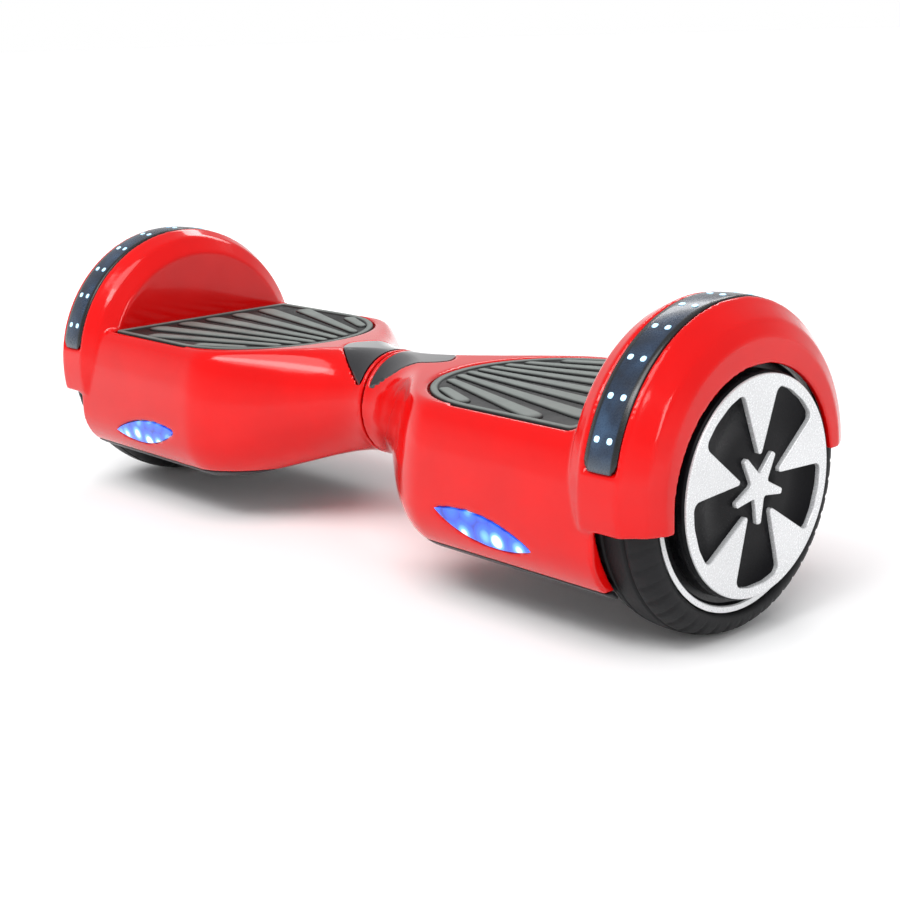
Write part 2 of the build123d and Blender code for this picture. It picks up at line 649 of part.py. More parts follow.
def rim_cover():
    """The plate that closes the drum on the inside, with the inner bearing seat."""
    outline = [
        (TYRE_INNER_X, BEARING_RADIUS + BEARING_SEAT),
        (TYRE_INNER_X, RIM_FLANGE_RADIUS - 1.0),
        (RIM_INNER_X, RIM_FLANGE_RADIUS - 1.0),
        (RIM_INNER_X, BEARING_RADIUS + BEARING_SEAT),
        (INNER_BEARING_X + BEARING_WIDTH, BEARING_RADIUS + BEARING_SEAT),
        (INNER_BEARING_X + BEARING_WIDTH, BEARING_RADIUS),
        (INNER_BEARING_X, BEARING_RADIUS),
        (INNER_BEARING_X, BEARING_RADIUS + BEARING_SEAT),
    ]
    return spin(outline, WHEEL_Z) - cover_screw_set(0.0)


def cover_screw_set(head_height):
    """The six cover screws as one compound, with heads of this height."""
    ring = (BARREL_RADIUS + TYRE_INNER_RADIUS) / 2
    screws = []
    for i in range(6):
        angle = radians(60 * i + 30)
        centre = Plane(origin=(0, ring * cos(angle), WHEEL_Z + ring * sin(angle)),
                       x_dir=(0, 1, 0), z_dir=(1, 0, 0))
        screw = disc(centre, TYRE_INNER_X, COVER_SCREW_LENGTH, COVER_SCREW_RADIUS)
        if head_height:
            screw = screw + disc(centre, TYRE_INNER_X - head_height, head_height,
                                 2 * COVER_SCREW_RADIUS)
        screws.append(screw)
    return Compound(children=screws)


def bearings():
    """The two ball bearings that the wheel turns on."""
    bore = AXLE_RADIUS + RUNNING_GAP
    inner = disc(AXLE_PLANE, INNER_BEARING_X, BEARING_WIDTH, BEARING_RADIUS, bore)
    outer = disc(AXLE_PLANE, OUTER_BEARING_X, BEARING_WIDTH, BEARING_RADIUS, bore)
    return Compound(children=[inner, outer])


def magnets():
    """The ring of magnets inside the drum."""
    return disc(AXLE_PLANE, STATOR_X - 1.0, STATOR_WIDTH + 2.0, BARREL_RADIUS,
                STATOR_RADIUS + MAGNET_GAP)


def stator():
    """The slotted iron core that stays still on the axle."""
    with BuildPart() as core:
        with BuildSketch(AXLE_PLANE.offset(STATOR_X)):
            Circle(STATOR_RADIUS)
            with PolarLocations(STATOR_RADIUS * 0.72, STATOR_SLOTS):
                Rectangle(STATOR_RADIUS * 0.62, 5.0, mode=Mode.SUBTRACT)
            Circle(AXLE_SHOULDER_RADIUS, mode=Mode.SUBTRACT)
        extrude(amount=STATOR_WIDTH)
    return core.part


def axle():
    """The fixed axle: flats for the clamp, a shoulder for the stator, a cable bore."""
    bar = disc(AXLE_PLANE, AXLE_START_X, AXLE_END_X - AXLE_START_X, AXLE_RADIUS)
    bar = bar + disc(AXLE_PLANE, STATOR_X - 2.0, STATOR_WIDTH + 4.0, AXLE_SHOULDER_RADIUS)
    reach = 2 * AXLE_RADIUS
    for z0, z1 in ((FLAT_TOP_Z, FLAT_TOP_Z + reach), (FLAT_BOTTOM_Z - reach, FLAT_BOTTOM_Z)):
        bar = bar - block(AXLE_START_X - 1, FRAME_END_X + 0.5, -reach, reach, z0, z1)
    return bar - disc(AXLE_PLANE, AXLE_START_X - 1, STATOR_X + 4.0 - AXLE_START_X, CABLE_RADIUS + 0.4)


def hub_cap():
    """The dished black cap over the drum."""
    with BuildPart() as cap:
        with BuildSketch(AXLE_PLANE.offset(CAP_BACK_X)):
            Circle(CAP_RADIUS)
        extrude(amount=CAP_DEPTH)
        fillet(cap.edges().sort_by(Axis.X)[-1], 1.2)
        with BuildSketch(AXLE_PLANE.offset(CAP_BACK_X)):
            Circle(CAP_RADIUS - CAP_WALL)
        extrude(amount=CAP_DEPTH - CAP_WALL, mode=Mode.SUBTRACT)
    return cap.part


def cap_trim():
    """The silver face of the cap: a ring with wedge spokes and a small star."""
    ring_inner = CAP_RADIUS - 1.5 - TRIM_RING_WIDTH
    half = radians(SPOKE_RIM_HALF_ANGLE)
    reach = ring_inner + TRIM_RING_WIDTH / 2
    with BuildPart() as trim:
        with BuildSketch(AXLE_PLANE.offset(CAP_FACE_X)):
            Circle(CAP_RADIUS - 1.5)
            Circle(ring_inner, mode=Mode.SUBTRACT)
            for i in range(SPOKE_COUNT):
                with Locations(Rot(0, 0, 90 + 360 * i / SPOKE_COUNT)):
                    with BuildSketch(mode=Mode.PRIVATE) as wedge:
                        Polygon((SPOKE_TIP_RADIUS, -1.6), (reach, -reach * sin(half)),
                                (reach, reach * sin(half)), (SPOKE_TIP_RADIUS, 1.6), align=None)
                    add(wedge.sketch)
        extrude(amount=TRIM_THICKNESS)
    with BuildPart() as star:
        with BuildSketch(AXLE_PLANE.offset(CAP_FACE_X)):
            Circle(STAR_HUB_RADIUS)
            for i in range(SPOKE_COUNT):
                with Locations(Rot(0, 0, 270 + 360 * i / SPOKE_COUNT)):
                    with BuildSketch(mode=Mode.PRIVATE) as arm:
                        Polygon((0, -STAR_HUB_RADIUS * 0.8), (STAR_RADIUS, -1.4), (STAR_RADIUS, 1.4),
                                (0, STAR_HUB_RADIUS * 0.8), align=None)
                    add(arm.sketch)
        extrude(amount=TRIM_THICKNESS)
    return Compound(children=[trim.part, star.part])


# ---- boards, battery and cables -----------------------------------------------------
def gyro_board():
    """The balance sensor board across the tub's walls, with two foot switches."""
    x0 = GYRO_BOARD_X - GYRO_BOARD_LENGTH / 2
    x1 = GYRO_BOARD_X + GYRO_BOARD_LENGTH / 2
    rest = FRAME_HALF_WIDTH - FRAME_WALL / 2
    z0 = FRAME_TOP_Z + BOARD_STANDOFF
    top = z0 + BOARD_THICKNESS
    board = block(x0, x1, -FRAME_HALF_WIDTH, FRAME_HALF_WIDTH, z0, top)
    for x in (x0 + 5, x1 - 5):
        for y in (-rest, rest):
            board = board + post(x, y, FRAME_TOP_Z, z0, FRAME_WALL / 2)
    for y in (-SWITCH_POST_Y, SWITCH_POST_Y):
        board = board + block(GYRO_BOARD_X - 6, GYRO_BOARD_X + 6, y - 4, y + 4, top,
                              PAD_BOTTOM_Z - 3.2)
    return board + block(x0 + 10, x0 + 20, -6, 6, top, top + 1.6)


def main_board():
    """The motor drive board on the floor of the right tub."""
    half = MAIN_BOARD_WIDTH / 2
    x0 = MAIN_BOARD_START_X
    x1 = x0 + MAIN_BOARD_LENGTH
    top = MAIN_BOARD_Z + BOARD_THICKNESS
    board = block(x0, x1, -half, half, MAIN_BOARD_Z, top)
    for x in (x0 + 5, x1 - 5):
        for y in (5 - half, half - 5):
            board = board + post(x, y, MAIN_BOARD_Z - BOARD_STANDOFF, MAIN_BOARD_Z, 3.0)
    board = board + block(x0 + 12, x1 - 12, -half + 8, -half + 20, top, top + 12)
    board = board + post(x0 + 34, half - 14, top, top + 20, 8.0)
    board = board + post(x0 + 54, half - 14, top, top + 20, 8.0)
    board = board + block(x1 - 28, x1 - 12, half - 38, half - 26, top, top + 7)
    return board + block(PLUG_X - 7, PLUG_X + 7, -7, 7, top, top + 4)


def battery():
    """The battery pack in the left tub, with the plug that meets the power cable."""
    half = BATTERY_WIDTH / 2
    with BuildPart() as pack:
        add(block(BATTERY_START_X, BATTERY_START_X + BATTERY_LENGTH, -half, half,
                  BATTERY_Z, BATTERY_Z + BATTERY_HEIGHT))
        fillet(pack.edges().filter_by(Axis.X), 5.0)
        add(block(PLUG_FACE_X, PLUG_FACE_X + 14, -9, 9, BATTERY_Z + BATTERY_HEIGHT - 1,
                  PIVOT_Z + 7))
    return pack.part


def battery_strap():
    """The band that holds the pack down on the tub's floor."""
    x0 = BATTERY_START_X + BATTERY_LENGTH / 2 - STRAP_WIDTH / 2
    half = BATTERY_WIDTH / 2
    floor = FRAME_BOTTOM_Z + FRAME_PLATE
    top = BATTERY_Z + BATTERY_HEIGHT + STRAP_THICKNESS
    band = block(x0, x0 + STRAP_WIDTH, -half - STRAP_THICKNESS, half + STRAP_THICKNESS, floor, top)
    band = band - block(x0 - 1, x0 + STRAP_WIDTH + 1, -half, half, floor - 1, top - STRAP_THICKNESS)
    for side in (-1, 1):
        y0, y1 = sorted((side * (half + STRAP_THICKNESS), side * (half + 7.0)))
        band = band + block(x0, x0 + STRAP_WIDTH, y0, y1, floor, floor + STRAP_THICKNESS)
    return band


def motor_cable():
    """The motor lead: out through the hollow axle to its plug in the frame's tub."""
    z = WHEEL_Z
    points = [(STATOR_X + 2.0, 0, z), (CLAMP_X - 12.0, 0, z), (CLAMP_X - 32.0, 12.0, z + 3.0),
              (CLAMP_X - 50.0, 26.0, z + 4.0)]
    lead = cable(points, [28.0, 90.0])
    plug = block(CLAMP_X - 66.0, CLAMP_X - 48.0, 20.0, 32.0, z + 0.5, z + 8.0)
    return lead + plug


def power_cable():
    """The battery lead: along the hollow pivot shaft, then down to the main board."""
    points = [(-PLUG_FACE_X + 0.3, 0, PIVOT_Z), (PLUG_X - 34.0, 0, PIVOT_Z),
              (PLUG_X - 16.0, 0, PIVOT_Z - 6.0), (PLUG_X - 4.0, 0, PIVOT_Z - 18.0),
              (PLUG_X, 0, MAIN_BOARD_Z + BOARD_THICKNESS + 3.0)]
    return cable(points, [45.0, 28.0, 22.0])


# ---- pads and rear fittings ---------------------------------------------------------
def foot_pad():
    """The rubber pad, with two posts above the foot switches."""
    pad = pad_prism(0.0, PAD_BOTTOM_Z, PAD_TOP_Z)
    for y in (-SWITCH_POST_Y, SWITCH_POST_Y):
        pad = pad + post(GYRO_BOARD_X, y, PAD_BOTTOM_Z - 1.4, PAD_BOTTOM_Z, 4.0)
    return pad


def charge_socket():
    """The charging inlet in the rear wall, with pins and the ears of its flap."""
    face = REAR_Y + 0.2
    socket = rear_disc(PORT_X, PORT_Z, face, 3.5, PORT_RADIUS)
    socket = socket + rear_disc(PORT_X, PORT_Z, face - 3.5, PORT_DEPTH - 3.5, PORT_BORE_RADIUS + 2.5)
    for side in (-1, 1):
        x0, x1 = sorted((PORT_X + side * EAR_START, PORT_X + side * (EAR_START + 2.5)))
        socket = socket + block(x0, x1, FLAP_AXIS_Y - 1.3, FLAP_AXIS_Y + 1.5, PORT_Z + 10.5,
                                FLAP_AXIS_Z + 1.5)
    socket = socket - rear_disc(PORT_X, PORT_Z, face, PORT_BORE_LENGTH, PORT_BORE_RADIUS)
    socket = socket - rear_disc(PORT_X, PORT_Z, face, PORT_DEPTH - 2.0, PORT_BORE_RADIUS - 1.5)
    for angle in (90, 210, 330):
        x = PORT_X + 3.4 * cos(radians(angle))
        z = PORT_Z + 3.4 * sin(radians(angle))
        socket = socket + rear_disc(x, z, face - PORT_BORE_LENGTH - 0.5, 8.0, 1.1)
    return socket + disc(FLAP_PLANE, PORT_X - EAR_START - 1, 2 * EAR_START + 2, FLAP_PIN_RADIUS)


def charge_flap():
    """The dust flap that swings up off the charging inlet."""
    inner = REAR_Y + 0.5
    outer = inner + CAP_FLAP_THICKNESS
    flap = rear_disc(PORT_X, PORT_Z, outer, CAP_FLAP_THICKNESS, PORT_RADIUS - 2.5)
    half = EAR_START - 0.4
    flap = flap + block(PORT_X - half, PORT_X + half, inner, outer, PORT_Z + 9.0, FLAP_AXIS_Z)
    flap = flap + disc(FLAP_PLANE, PORT_X - half, 2 * half, FLAP_BARREL_RADIUS)
    return flap - disc(FLAP_PLANE, PORT_X - half - 1, 2 * half + 2, FLAP_PIN_RADIUS + RUNNING_GAP)


def switch_housing():
    """The ring and cup that guide the power button."""
    face = REAR_Y + 0.2
    cup = rear_disc(SWITCH_X, PORT_Z, face, 3.5, SWITCH_RADIUS)
    cup = cup + rear_disc(SWITCH_X, PORT_Z, face - 3.5, PORT_DEPTH - 5.0, BUTTON_RADIUS + 2.0)
    return cup - rear_disc(SWITCH_X, PORT_Z, face, PORT_DEPTH - 6.0, BUTTON_RADIUS + BUTTON_GAP)


def power_button():
    """The round button that is pushed in to switch the board on."""
    with BuildPart() as button:
        add(rear_disc(SWITCH_X, PORT_Z, REAR_Y + 1.6, 10.0, BUTTON_RADIUS))
        fillet(button.edges().sort_by(Axis.Y)[-1], 0.8)
    return button.part


# ---- every piece --------------------------------------------------------------------
os.makedirs("parts", exist_ok=True)
rear_skirt = block(WELL_X, SKIRT_END_X + 1.0, 0, 2 * BODY_HALF_DEPTH, 0, 2 * FENDER_Z)
outer_body = body_solid(NECK_START_X, SKIRT_END_X, 0.0) - rear_skirt
body_cavity = body_solid(NECK_START_X - 1.0, END_WALL_X, SHELL_WALL)
body_wall = outer_body - body_cavity

save("upper_shell_right", upper_shell(outer_body, body_cavity, True))
save("upper_shell_left", mirror(upper_shell(outer_body, body_cavity, False), about=Plane.YZ))
save_pair("lower_shell", lower_shell(outer_body, body_cavity))
save_pair("shell_screws", shell_screws())
save_pair("headlight_lens", body_wall & lamp_prism(0.0))
save_pair("indicator_window", body_wall & window_prism(0.0))
save_pair("headlight_board", block(LAMP_START_X + 8, LAMP_START_X + LAMP_LENGTH - 8,
                                   -BODY_HALF_DEPTH + 5.5, -BODY_HALF_DEPTH + 5.5 + BOARD_THICKNESS,
                                   LAMP_OUTER_Z - 2, LAMP_INNER_Z))
save_pair("light_strip", strip_ring(CHANNEL_RADIUS + LIGHT_BOARD_THICKNESS,
                                    FENDER_RADIUS + STRIP_PROUD, 0.15, 0.15))
save_pair("light_board", strip_ring(CHANNEL_RADIUS, CHANNEL_RADIUS + LIGHT_BOARD_THICKNESS,
                                    2.0, 2.0))

save("frame_right", frame(SHAFT_RADIUS))
save("frame_left", mirror(frame(SHAFT_RADIUS + RUNNING_GAP + BUSH_WALL), about=Plane.YZ))
save_pair("axle_clamp", axle_clamp())
save_pair("clamp_screws", clamp_screws())
save("pivot_shaft", pivot_shaft())
save("pivot_bush", pivot_bush())
save("circlip", circlip())

save_pair("tyre", tyre())
save_pair("rim", rim())
save_pair("rim_cover", rim_cover())
save_pair("cover_screws", cover_screw_set(1.5))
save_pair("bearings", bearings())
save_pair("magnets", magnets())
save_pair("stator", stator())
save_pair("axle", axle())
save_pair("hub_cap", hub_cap())
save_pair("cap_trim", cap_trim())

save_pair("gyro_board", gyro_board())
save_pair("motor_cable", motor_cable())
save("main_board", main_board())
save("power_cable", power_cable())
save("battery", mirror(battery(), about=Plane.YZ))
save("battery_strap", mirror(battery_strap(), about=Plane.YZ))

save_pair("foot_pad", foot_pad())
save("charge_socket", charge_socket())
save("charge_flap", charge_flap())
save("switch_housing", switch_housing())
save("power_button", power_button())
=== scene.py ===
"""Self balancing hoverboard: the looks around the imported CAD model.

Metres, in the CAD frame: +X towards the right wheel, -Y towards the headlights, +Z up.
"""

import json
import math

import bmesh
import bpy
from mathutils import Matrix, Vector


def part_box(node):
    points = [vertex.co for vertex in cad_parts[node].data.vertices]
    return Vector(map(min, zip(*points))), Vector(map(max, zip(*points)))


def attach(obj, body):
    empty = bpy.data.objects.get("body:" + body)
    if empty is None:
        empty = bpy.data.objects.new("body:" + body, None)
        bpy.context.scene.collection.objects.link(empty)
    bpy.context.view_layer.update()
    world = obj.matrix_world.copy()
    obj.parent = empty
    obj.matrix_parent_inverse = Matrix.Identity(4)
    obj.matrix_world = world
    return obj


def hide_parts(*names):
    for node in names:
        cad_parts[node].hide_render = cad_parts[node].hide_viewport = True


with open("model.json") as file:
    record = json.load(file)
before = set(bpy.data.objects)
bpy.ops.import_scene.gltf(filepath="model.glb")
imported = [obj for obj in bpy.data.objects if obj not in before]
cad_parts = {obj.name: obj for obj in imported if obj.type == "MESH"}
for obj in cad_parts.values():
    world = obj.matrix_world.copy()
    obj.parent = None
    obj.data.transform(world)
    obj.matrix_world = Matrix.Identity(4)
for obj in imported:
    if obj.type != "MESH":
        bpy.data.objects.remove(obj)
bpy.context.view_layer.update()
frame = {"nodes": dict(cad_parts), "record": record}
NODES = frame["nodes"]
SIDES = {"right": 1, "left": -1}


# ---- sizes taken from the CAD nodes --------------------------------------------------
tyre_low, tyre_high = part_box("tyre_right")
WHEEL_X = (tyre_low.x + tyre_high.x) / 2
WHEEL_Z = (tyre_low.z + tyre_high.z) / 2
TYRE_W = tyre_high.x - tyre_low.x
strip_low, strip_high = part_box("light_strip_right")
STRIP_X0, STRIP_X1 = strip_low.x, strip_high.x
STRIP_R = 0.0938
STRIP_MIDDLE = (STRIP_X1 + STRIP_X0) / 2
FENDER_Z = strip_high.z - STRIP_R
pad_low, pad_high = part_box("foot_pad_right")
PAD_TOP = pad_high.z - 0.0002
PAD_BOTTOM = PAD_TOP - 0.0054
PAD_R = pad_high.y - 0.0005
PAD_CX = pad_low.x + pad_high.y
PAD_END = pad_high.x
rim_low, rim_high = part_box("rim_right")
trim_low, trim_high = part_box("cap_trim_right")
cap_low, cap_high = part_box("hub_cap_right")
CAP_R = (cap_high.z - cap_low.z) / 2


# ---- camera, lights and floor --------------------------------------------------------
def add_camera():
    """The camera at the photograph's viewing angle."""
    azimuth = math.radians(47.489)
    elevation = math.radians(14.784)
    roll = math.radians(-1.603)
    distance = 1.1164
    target = Vector((-0.0264, 0.0698, 0.0340))
    back = Vector((
        math.sin(azimuth) * math.cos(elevation),
        -math.cos(azimuth) * math.cos(elevation),
        math.sin(elevation),
    ))
    right = Vector((math.cos(azimuth), math.sin(azimuth), 0))
    up = back.cross(right)
    turned_right = right * math.cos(roll) + up * math.sin(roll)
    turned_up = up * math.cos(roll) - right * math.sin(roll)
    data = bpy.data.cameras.new("camera")
    data.sensor_width = 36.0
    data.lens = 63.84
    data.shift_x = -0.004
    data.shift_y = 0.005
    data.clip_start = 0.01
    camera = bpy.data.objects.new("camera", data)
    camera.matrix_world = Matrix.Translation(target + back * distance) @ Matrix(
        (turned_right, turned_up, back)).transposed().to_4x4()
    bpy.context.scene.collection.objects.link(camera)
    bpy.context.scene.camera = camera


def add_light(name, place, aim, size, power):
    """A rectangular soft box at place, turned towards aim."""
    data = bpy.data.lights.new(name, "AREA")
    data.shape = "RECTANGLE"
    data.size, data.size_y = size
    data.energy = power
    lamp = bpy.data.objects.new(name, data)
    lamp.location = place
    direction = Vector(aim) - Vector(place)
    lamp.rotation_euler = direction.to_track_quat("-Z", "Y").to_euler()
    bpy.context.scene.collection.objects.link(lamp)


def floor_paint():
    """White paint that grows into the backdrop's brightness away from the object."""
    m = Nodes("floor_paint")
    far = m.add("ShaderNodeVectorMath", operation="LENGTH")
    m.join(m.place, far.inputs[0])
    fade = m.add("ShaderNodeMapRange", interpolation_type="SMOOTHSTEP")
    fade.inputs["From Min"].default_value = 0.45
    fade.inputs["From Max"].default_value = 1.6
    fade.inputs["To Max"].default_value = 0.35
    m.join(far.outputs["Value"], fade.inputs["Value"])
    m.join(m.ramp(m.noise(2.0), [(0.3, (0.93, 0.93, 0.93)), (0.7, (0.94, 0.94, 0.94))]),
           m.shader.inputs["Base Color"])
    m.shader.inputs["Emission Color"].default_value = (1, 1, 1, 1)
    m.join(fade.outputs["Result"], m.shader.inputs["Emission Strength"])
    m.shader.inputs["Roughness"].default_value = 0.7
    m.shader.inputs["Specular IOR Level"].default_value = 0.1
    return m.material


def add_stage():
    """A pale floor, even light from all round, three soft boxes and a broad sun."""
    mesh = bpy.data.meshes.new("floor")
    shape = bmesh.new()
    bmesh.ops.create_grid(shape, x_segments=8, y_segments=8, size=60.0)
    shape.to_mesh(mesh)
    shape.free()
    floor = bpy.data.objects.new("floor", mesh)
    bpy.context.scene.collection.objects.link(floor)
    floor.data.materials.append(floor_paint())
    world = bpy.data.worlds.new("studio")
    world.use_nodes = True
    tree = world.node_tree
    backdrop = tree.nodes["Background"]
    direction = tree.nodes.new("ShaderNodeTexCoord")
    height = tree.nodes.new("ShaderNodeSeparateXYZ")
    shade = tree.nodes.new("ShaderNodeValToRGB")
    tree.links.new(direction.outputs["Generated"], height.inputs["Vector"])
    tree.links.new(height.outputs["Z"], shade.inputs["Fac"])
    tree.links.new(shade.outputs["Color"], backdrop.inputs["Color"])
    shade.color_ramp.elements[0].position = 0.04
    shade.color_ramp.elements[0].color = (1, 1, 1, 1)
    shade.color_ramp.elements[1].position = 0.35
    shade.color_ramp.elements[1].color = (0.5, 0.5, 0.51, 1)
    backdrop.inputs["Strength"].default_value = 1.0
    bpy.context.scene.world = world
    add_light("key", (0.1, -0.9, 1.1), (0.0, 0, 0.08), (0.9, 0.25), 5)
    add_light("side", (1.3, -0.5, 0.7), (0.2, 0, 0.08), (0.25, 0.5), 2.5)
    add_light("back", (-0.6, 0.9, 1.0), (-0.1, 0, 0.1), (1.0, 0.25), 5)
    data = bpy.data.lights.new("sky", "SUN")
    data.energy = 1.75
    data.angle = math.radians(45)
    sky = bpy.data.objects.new("sky", data)
    sky.rotation_euler = (math.radians(28), math.radians(12), 0)
    bpy.context.scene.collection.objects.link(sky)


# ---- materials -----------------------------------------------------------------------
class Nodes:
    """A short way to build a material's node tree."""

    def __init__(self, name):
        self.material = bpy.data.materials.new(name)
        self.material.use_nodes = True
        self.tree = self.material.node_tree
        self.shader = self.tree.nodes["Principled BSDF"]
        self.place = self.add("ShaderNodeTexCoord").outputs["Object"]

    def add(self, kind, **values):
        node = self.tree.nodes.new(kind)
        for key, value in values.items():
            setattr(node, key, value)
        return node

    def join(self, source, target):
        self.tree.links.new(source, target)

    def noise(self, scale, detail=3.0, roughness=0.55, stretch=None):
        node = self.add("ShaderNodeTexNoise")
        node.inputs["Scale"].default_value = scale
        node.inputs["Detail"].default_value = detail
        node.inputs["Roughness"].default_value = roughness
        place = self.place
        if stretch:
            scaler = self.add("ShaderNodeMapping")
            scaler.inputs["Scale"].default_value = stretch
            self.join(place, scaler.inputs["Vector"])
            place = scaler.outputs["Vector"]
        self.join(place, node.inputs["Vector"])
        return node.outputs["Fac"]

    def away_from_middle(self):
        """How far a point lies from the plane between the two halves."""
        place = self.add("ShaderNodeSeparateXYZ")
        self.join(self.place, place.inputs["Vector"])
        out = self.add("ShaderNodeMath", operation="ABSOLUTE")
        self.join(place.outputs["X"], out.inputs[0])
        return place, out.outputs["Value"]

    def ramp(self, source, stops):
        """Colours at positions along source, 0 to 1."""
        node = self.add("ShaderNodeValToRGB")
        ramp = node.color_ramp
        while len(ramp.elements) < len(stops):
            ramp.elements.new(0.5)
        for element, (at, colour) in zip(ramp.elements, stops):
            element.position = at
            element.color = (*colour, 1)
        self.join(source, node.inputs["Fac"])
        return node.outputs["Color"]

    def spread(self, source, low, high):
        """source mapped from 0.3..0.7 to low..high."""
        node = self.add("ShaderNodeMapRange")
        node.inputs["From Min"].default_value = 0.3
        node.inputs["From Max"].default_value = 0.7
        node.inputs["To Min"].default_value = low
        node.inputs["To Max"].default_value = high
        self.join(source, node.inputs["Value"])
        return node.outputs["Result"]

    def bump(self, height, strength, distance):
        node = self.add("ShaderNodeBump")
        node.inputs["Strength"].default_value = strength
        node.inputs["Distance"].default_value = distance
        self.join(height, node.inputs["Height"])
        self.join(node.outputs["Normal"], self.shader.inputs["Normal"])

    def edge_wear_and_highlight(self, colour, worn_and_lit, amount):
        """colour, lighter where the shape's edges stand proud: a painted highlight along those edges,
        together with wear.
        """
        edge = self.add("ShaderNodeNewGeometry").outputs["Pointiness"]
        mask = self.add("ShaderNodeMapRange")
        mask.inputs["From Min"].default_value = 0.52
        mask.inputs["From Max"].default_value = 0.60
        mask.inputs["To Max"].default_value = amount
        self.join(edge, mask.inputs["Value"])
        mix = self.add("ShaderNodeMix", data_type="RGBA")
        self.join(mask.outputs["Result"], mix.inputs["Factor"])
        self.join(colour, mix.inputs["A"])
        # the lighter colour: painted highlight on the proud edges, with wear
        mix.inputs["B"].default_value = (*worn_and_lit, 1)
        return mix.outputs["Result"]


def plain(name, colour, roughness, metallic=0.0, coat=0.0, spread=0.1, grain=(900.0, 0.1),
          specular=0.5):
    """A finish with slow colour variation, uneven gloss and a fine grain."""
    m = Nodes(name)
    slow = m.noise(18.0, 3.0)
    fine = m.noise(grain[0], 4.0, 0.6)
    darker = tuple(c * (1 - spread) for c in colour)
    lighter = tuple(min(1.0, c * (1 + spread)) for c in colour)
    tint = m.ramp(slow, [(0.35, darker), (0.65, lighter)])
    m.join(tint, m.shader.inputs["Base Color"])
    m.join(m.spread(fine, roughness * 0.85, min(1.0, roughness * 1.15)),
           m.shader.inputs["Roughness"])
    m.shader.inputs["Metallic"].default_value = metallic
    m.shader.inputs["Specular IOR Level"].default_value = specular
    if coat:
        m.shader.inputs["Coat Weight"].default_value = coat
        m.shader.inputs["Coat Roughness"].default_value = 0.04
    m.bump(fine, grain[1], 0.0004)
    return m.material


def lamp_glow():
    """The headlight: deep blue with a row of white points behind ribbed plastic."""
    m = Nodes("headlight_blue")
    cells = m.add("ShaderNodeTexVoronoi", feature="F1")
    cells.inputs["Scale"].default_value = 78.0
    cells.inputs["Randomness"].default_value = 0.45
    m.join(m.place, cells.inputs["Vector"])
    glow = m.ramp(cells.outputs["Distance"], [
        (0.0, (1.0, 1.0, 1.0)), (0.24, (0.80, 0.95, 1.0)), (0.34, (0.10, 0.35, 0.95)),
        (0.48, (0.01, 0.10, 0.75)), (0.8, (0.002, 0.02, 0.28))])
    ribs = m.add("ShaderNodeTexWave", wave_type="BANDS", bands_direction="X")
    ribs.inputs["Scale"].default_value = 160.0
    m.join(m.place, ribs.inputs["Vector"])
    m.join(glow, m.shader.inputs["Base Color"])
    m.join(glow, m.shader.inputs["Emission Color"])
    m.shader.inputs["Emission Strength"].default_value = 0.9
    m.shader.inputs["Roughness"].default_value = 0.12
    m.shader.inputs["Coat Weight"].default_value = 0.8
    m.shader.inputs["Coat Roughness"].default_value = 0.03
    m.bump(ribs.outputs["Fac"], 0.12, 0.0005)
    return m.material


def led_glow():
    """A lit chip: white in the middle, cool blue at the rim."""
    m = Nodes("led_white")
    fine = m.noise(700.0)
    glow = m.ramp(fine, [(0.3, (0.25, 0.55, 0.85)), (0.65, (0.62, 0.88, 1.0))])
    m.join(glow, m.shader.inputs["Base Color"])
    m.join(glow, m.shader.inputs["Emission Color"])
    m.shader.inputs["Emission Strength"].default_value = 0.85
    m.shader.inputs["Roughness"].default_value = 0.25
    return m.material


def strip_cover():
    """The dark light band: black edges, blue-grey round the chips, smoky at its ends."""
    m = Nodes("strip_cover")
    cloud = m.noise(38.0, 3.0)
    tint = m.ramp(cloud, [(0.32, (0.006, 0.010, 0.018)), (0.55, (0.014, 0.030, 0.060)),
                          (0.75, (0.035, 0.075, 0.14))])
    place, out = m.away_from_middle()
    off_middle = m.add("ShaderNodeMath", operation="SUBTRACT")
    m.join(out, off_middle.inputs[0])
    off_middle.inputs[1].default_value = STRIP_MIDDLE
    aside = m.add("ShaderNodeMath", operation="ABSOLUTE")
    m.join(off_middle.outputs["Value"], aside.inputs[0])
    border = m.add("ShaderNodeMapRange")
    border.inputs["From Min"].default_value = 0.0070
    border.inputs["From Max"].default_value = 0.0080
    m.join(aside.outputs["Value"], border.inputs["Value"])
    clear = m.add("ShaderNodeMapRange")
    clear.inputs["From Min"].default_value = 0.115
    clear.inputs["From Max"].default_value = 0.105
    m.join(place.outputs["Z"], clear.inputs["Value"])
    smoky = m.add("ShaderNodeMix", data_type="RGBA")
    m.join(clear.outputs["Result"], smoky.inputs["Factor"])
    m.join(tint, smoky.inputs["A"])
    smoky.inputs["B"].default_value = (0.07, 0.09, 0.11, 1)
    edged = m.add("ShaderNodeMix", data_type="RGBA")
    m.join(border.outputs["Result"], edged.inputs["Factor"])
    m.join(smoky.outputs["Result"], edged.inputs["A"])
    edged.inputs["B"].default_value = (0.004, 0.005, 0.006, 1)
    m.join(edged.outputs["Result"], m.shader.inputs["Base Color"])
    fine = m.noise(900.0)
    m.join(m.spread(fine, 0.24, 0.32), m.shader.inputs["Roughness"])
    m.shader.inputs["Coat Weight"].default_value = 0.12
    m.shader.inputs["Coat Roughness"].default_value = 0.04
    m.bump(fine, 0.03, 0.0002)
    return m.material


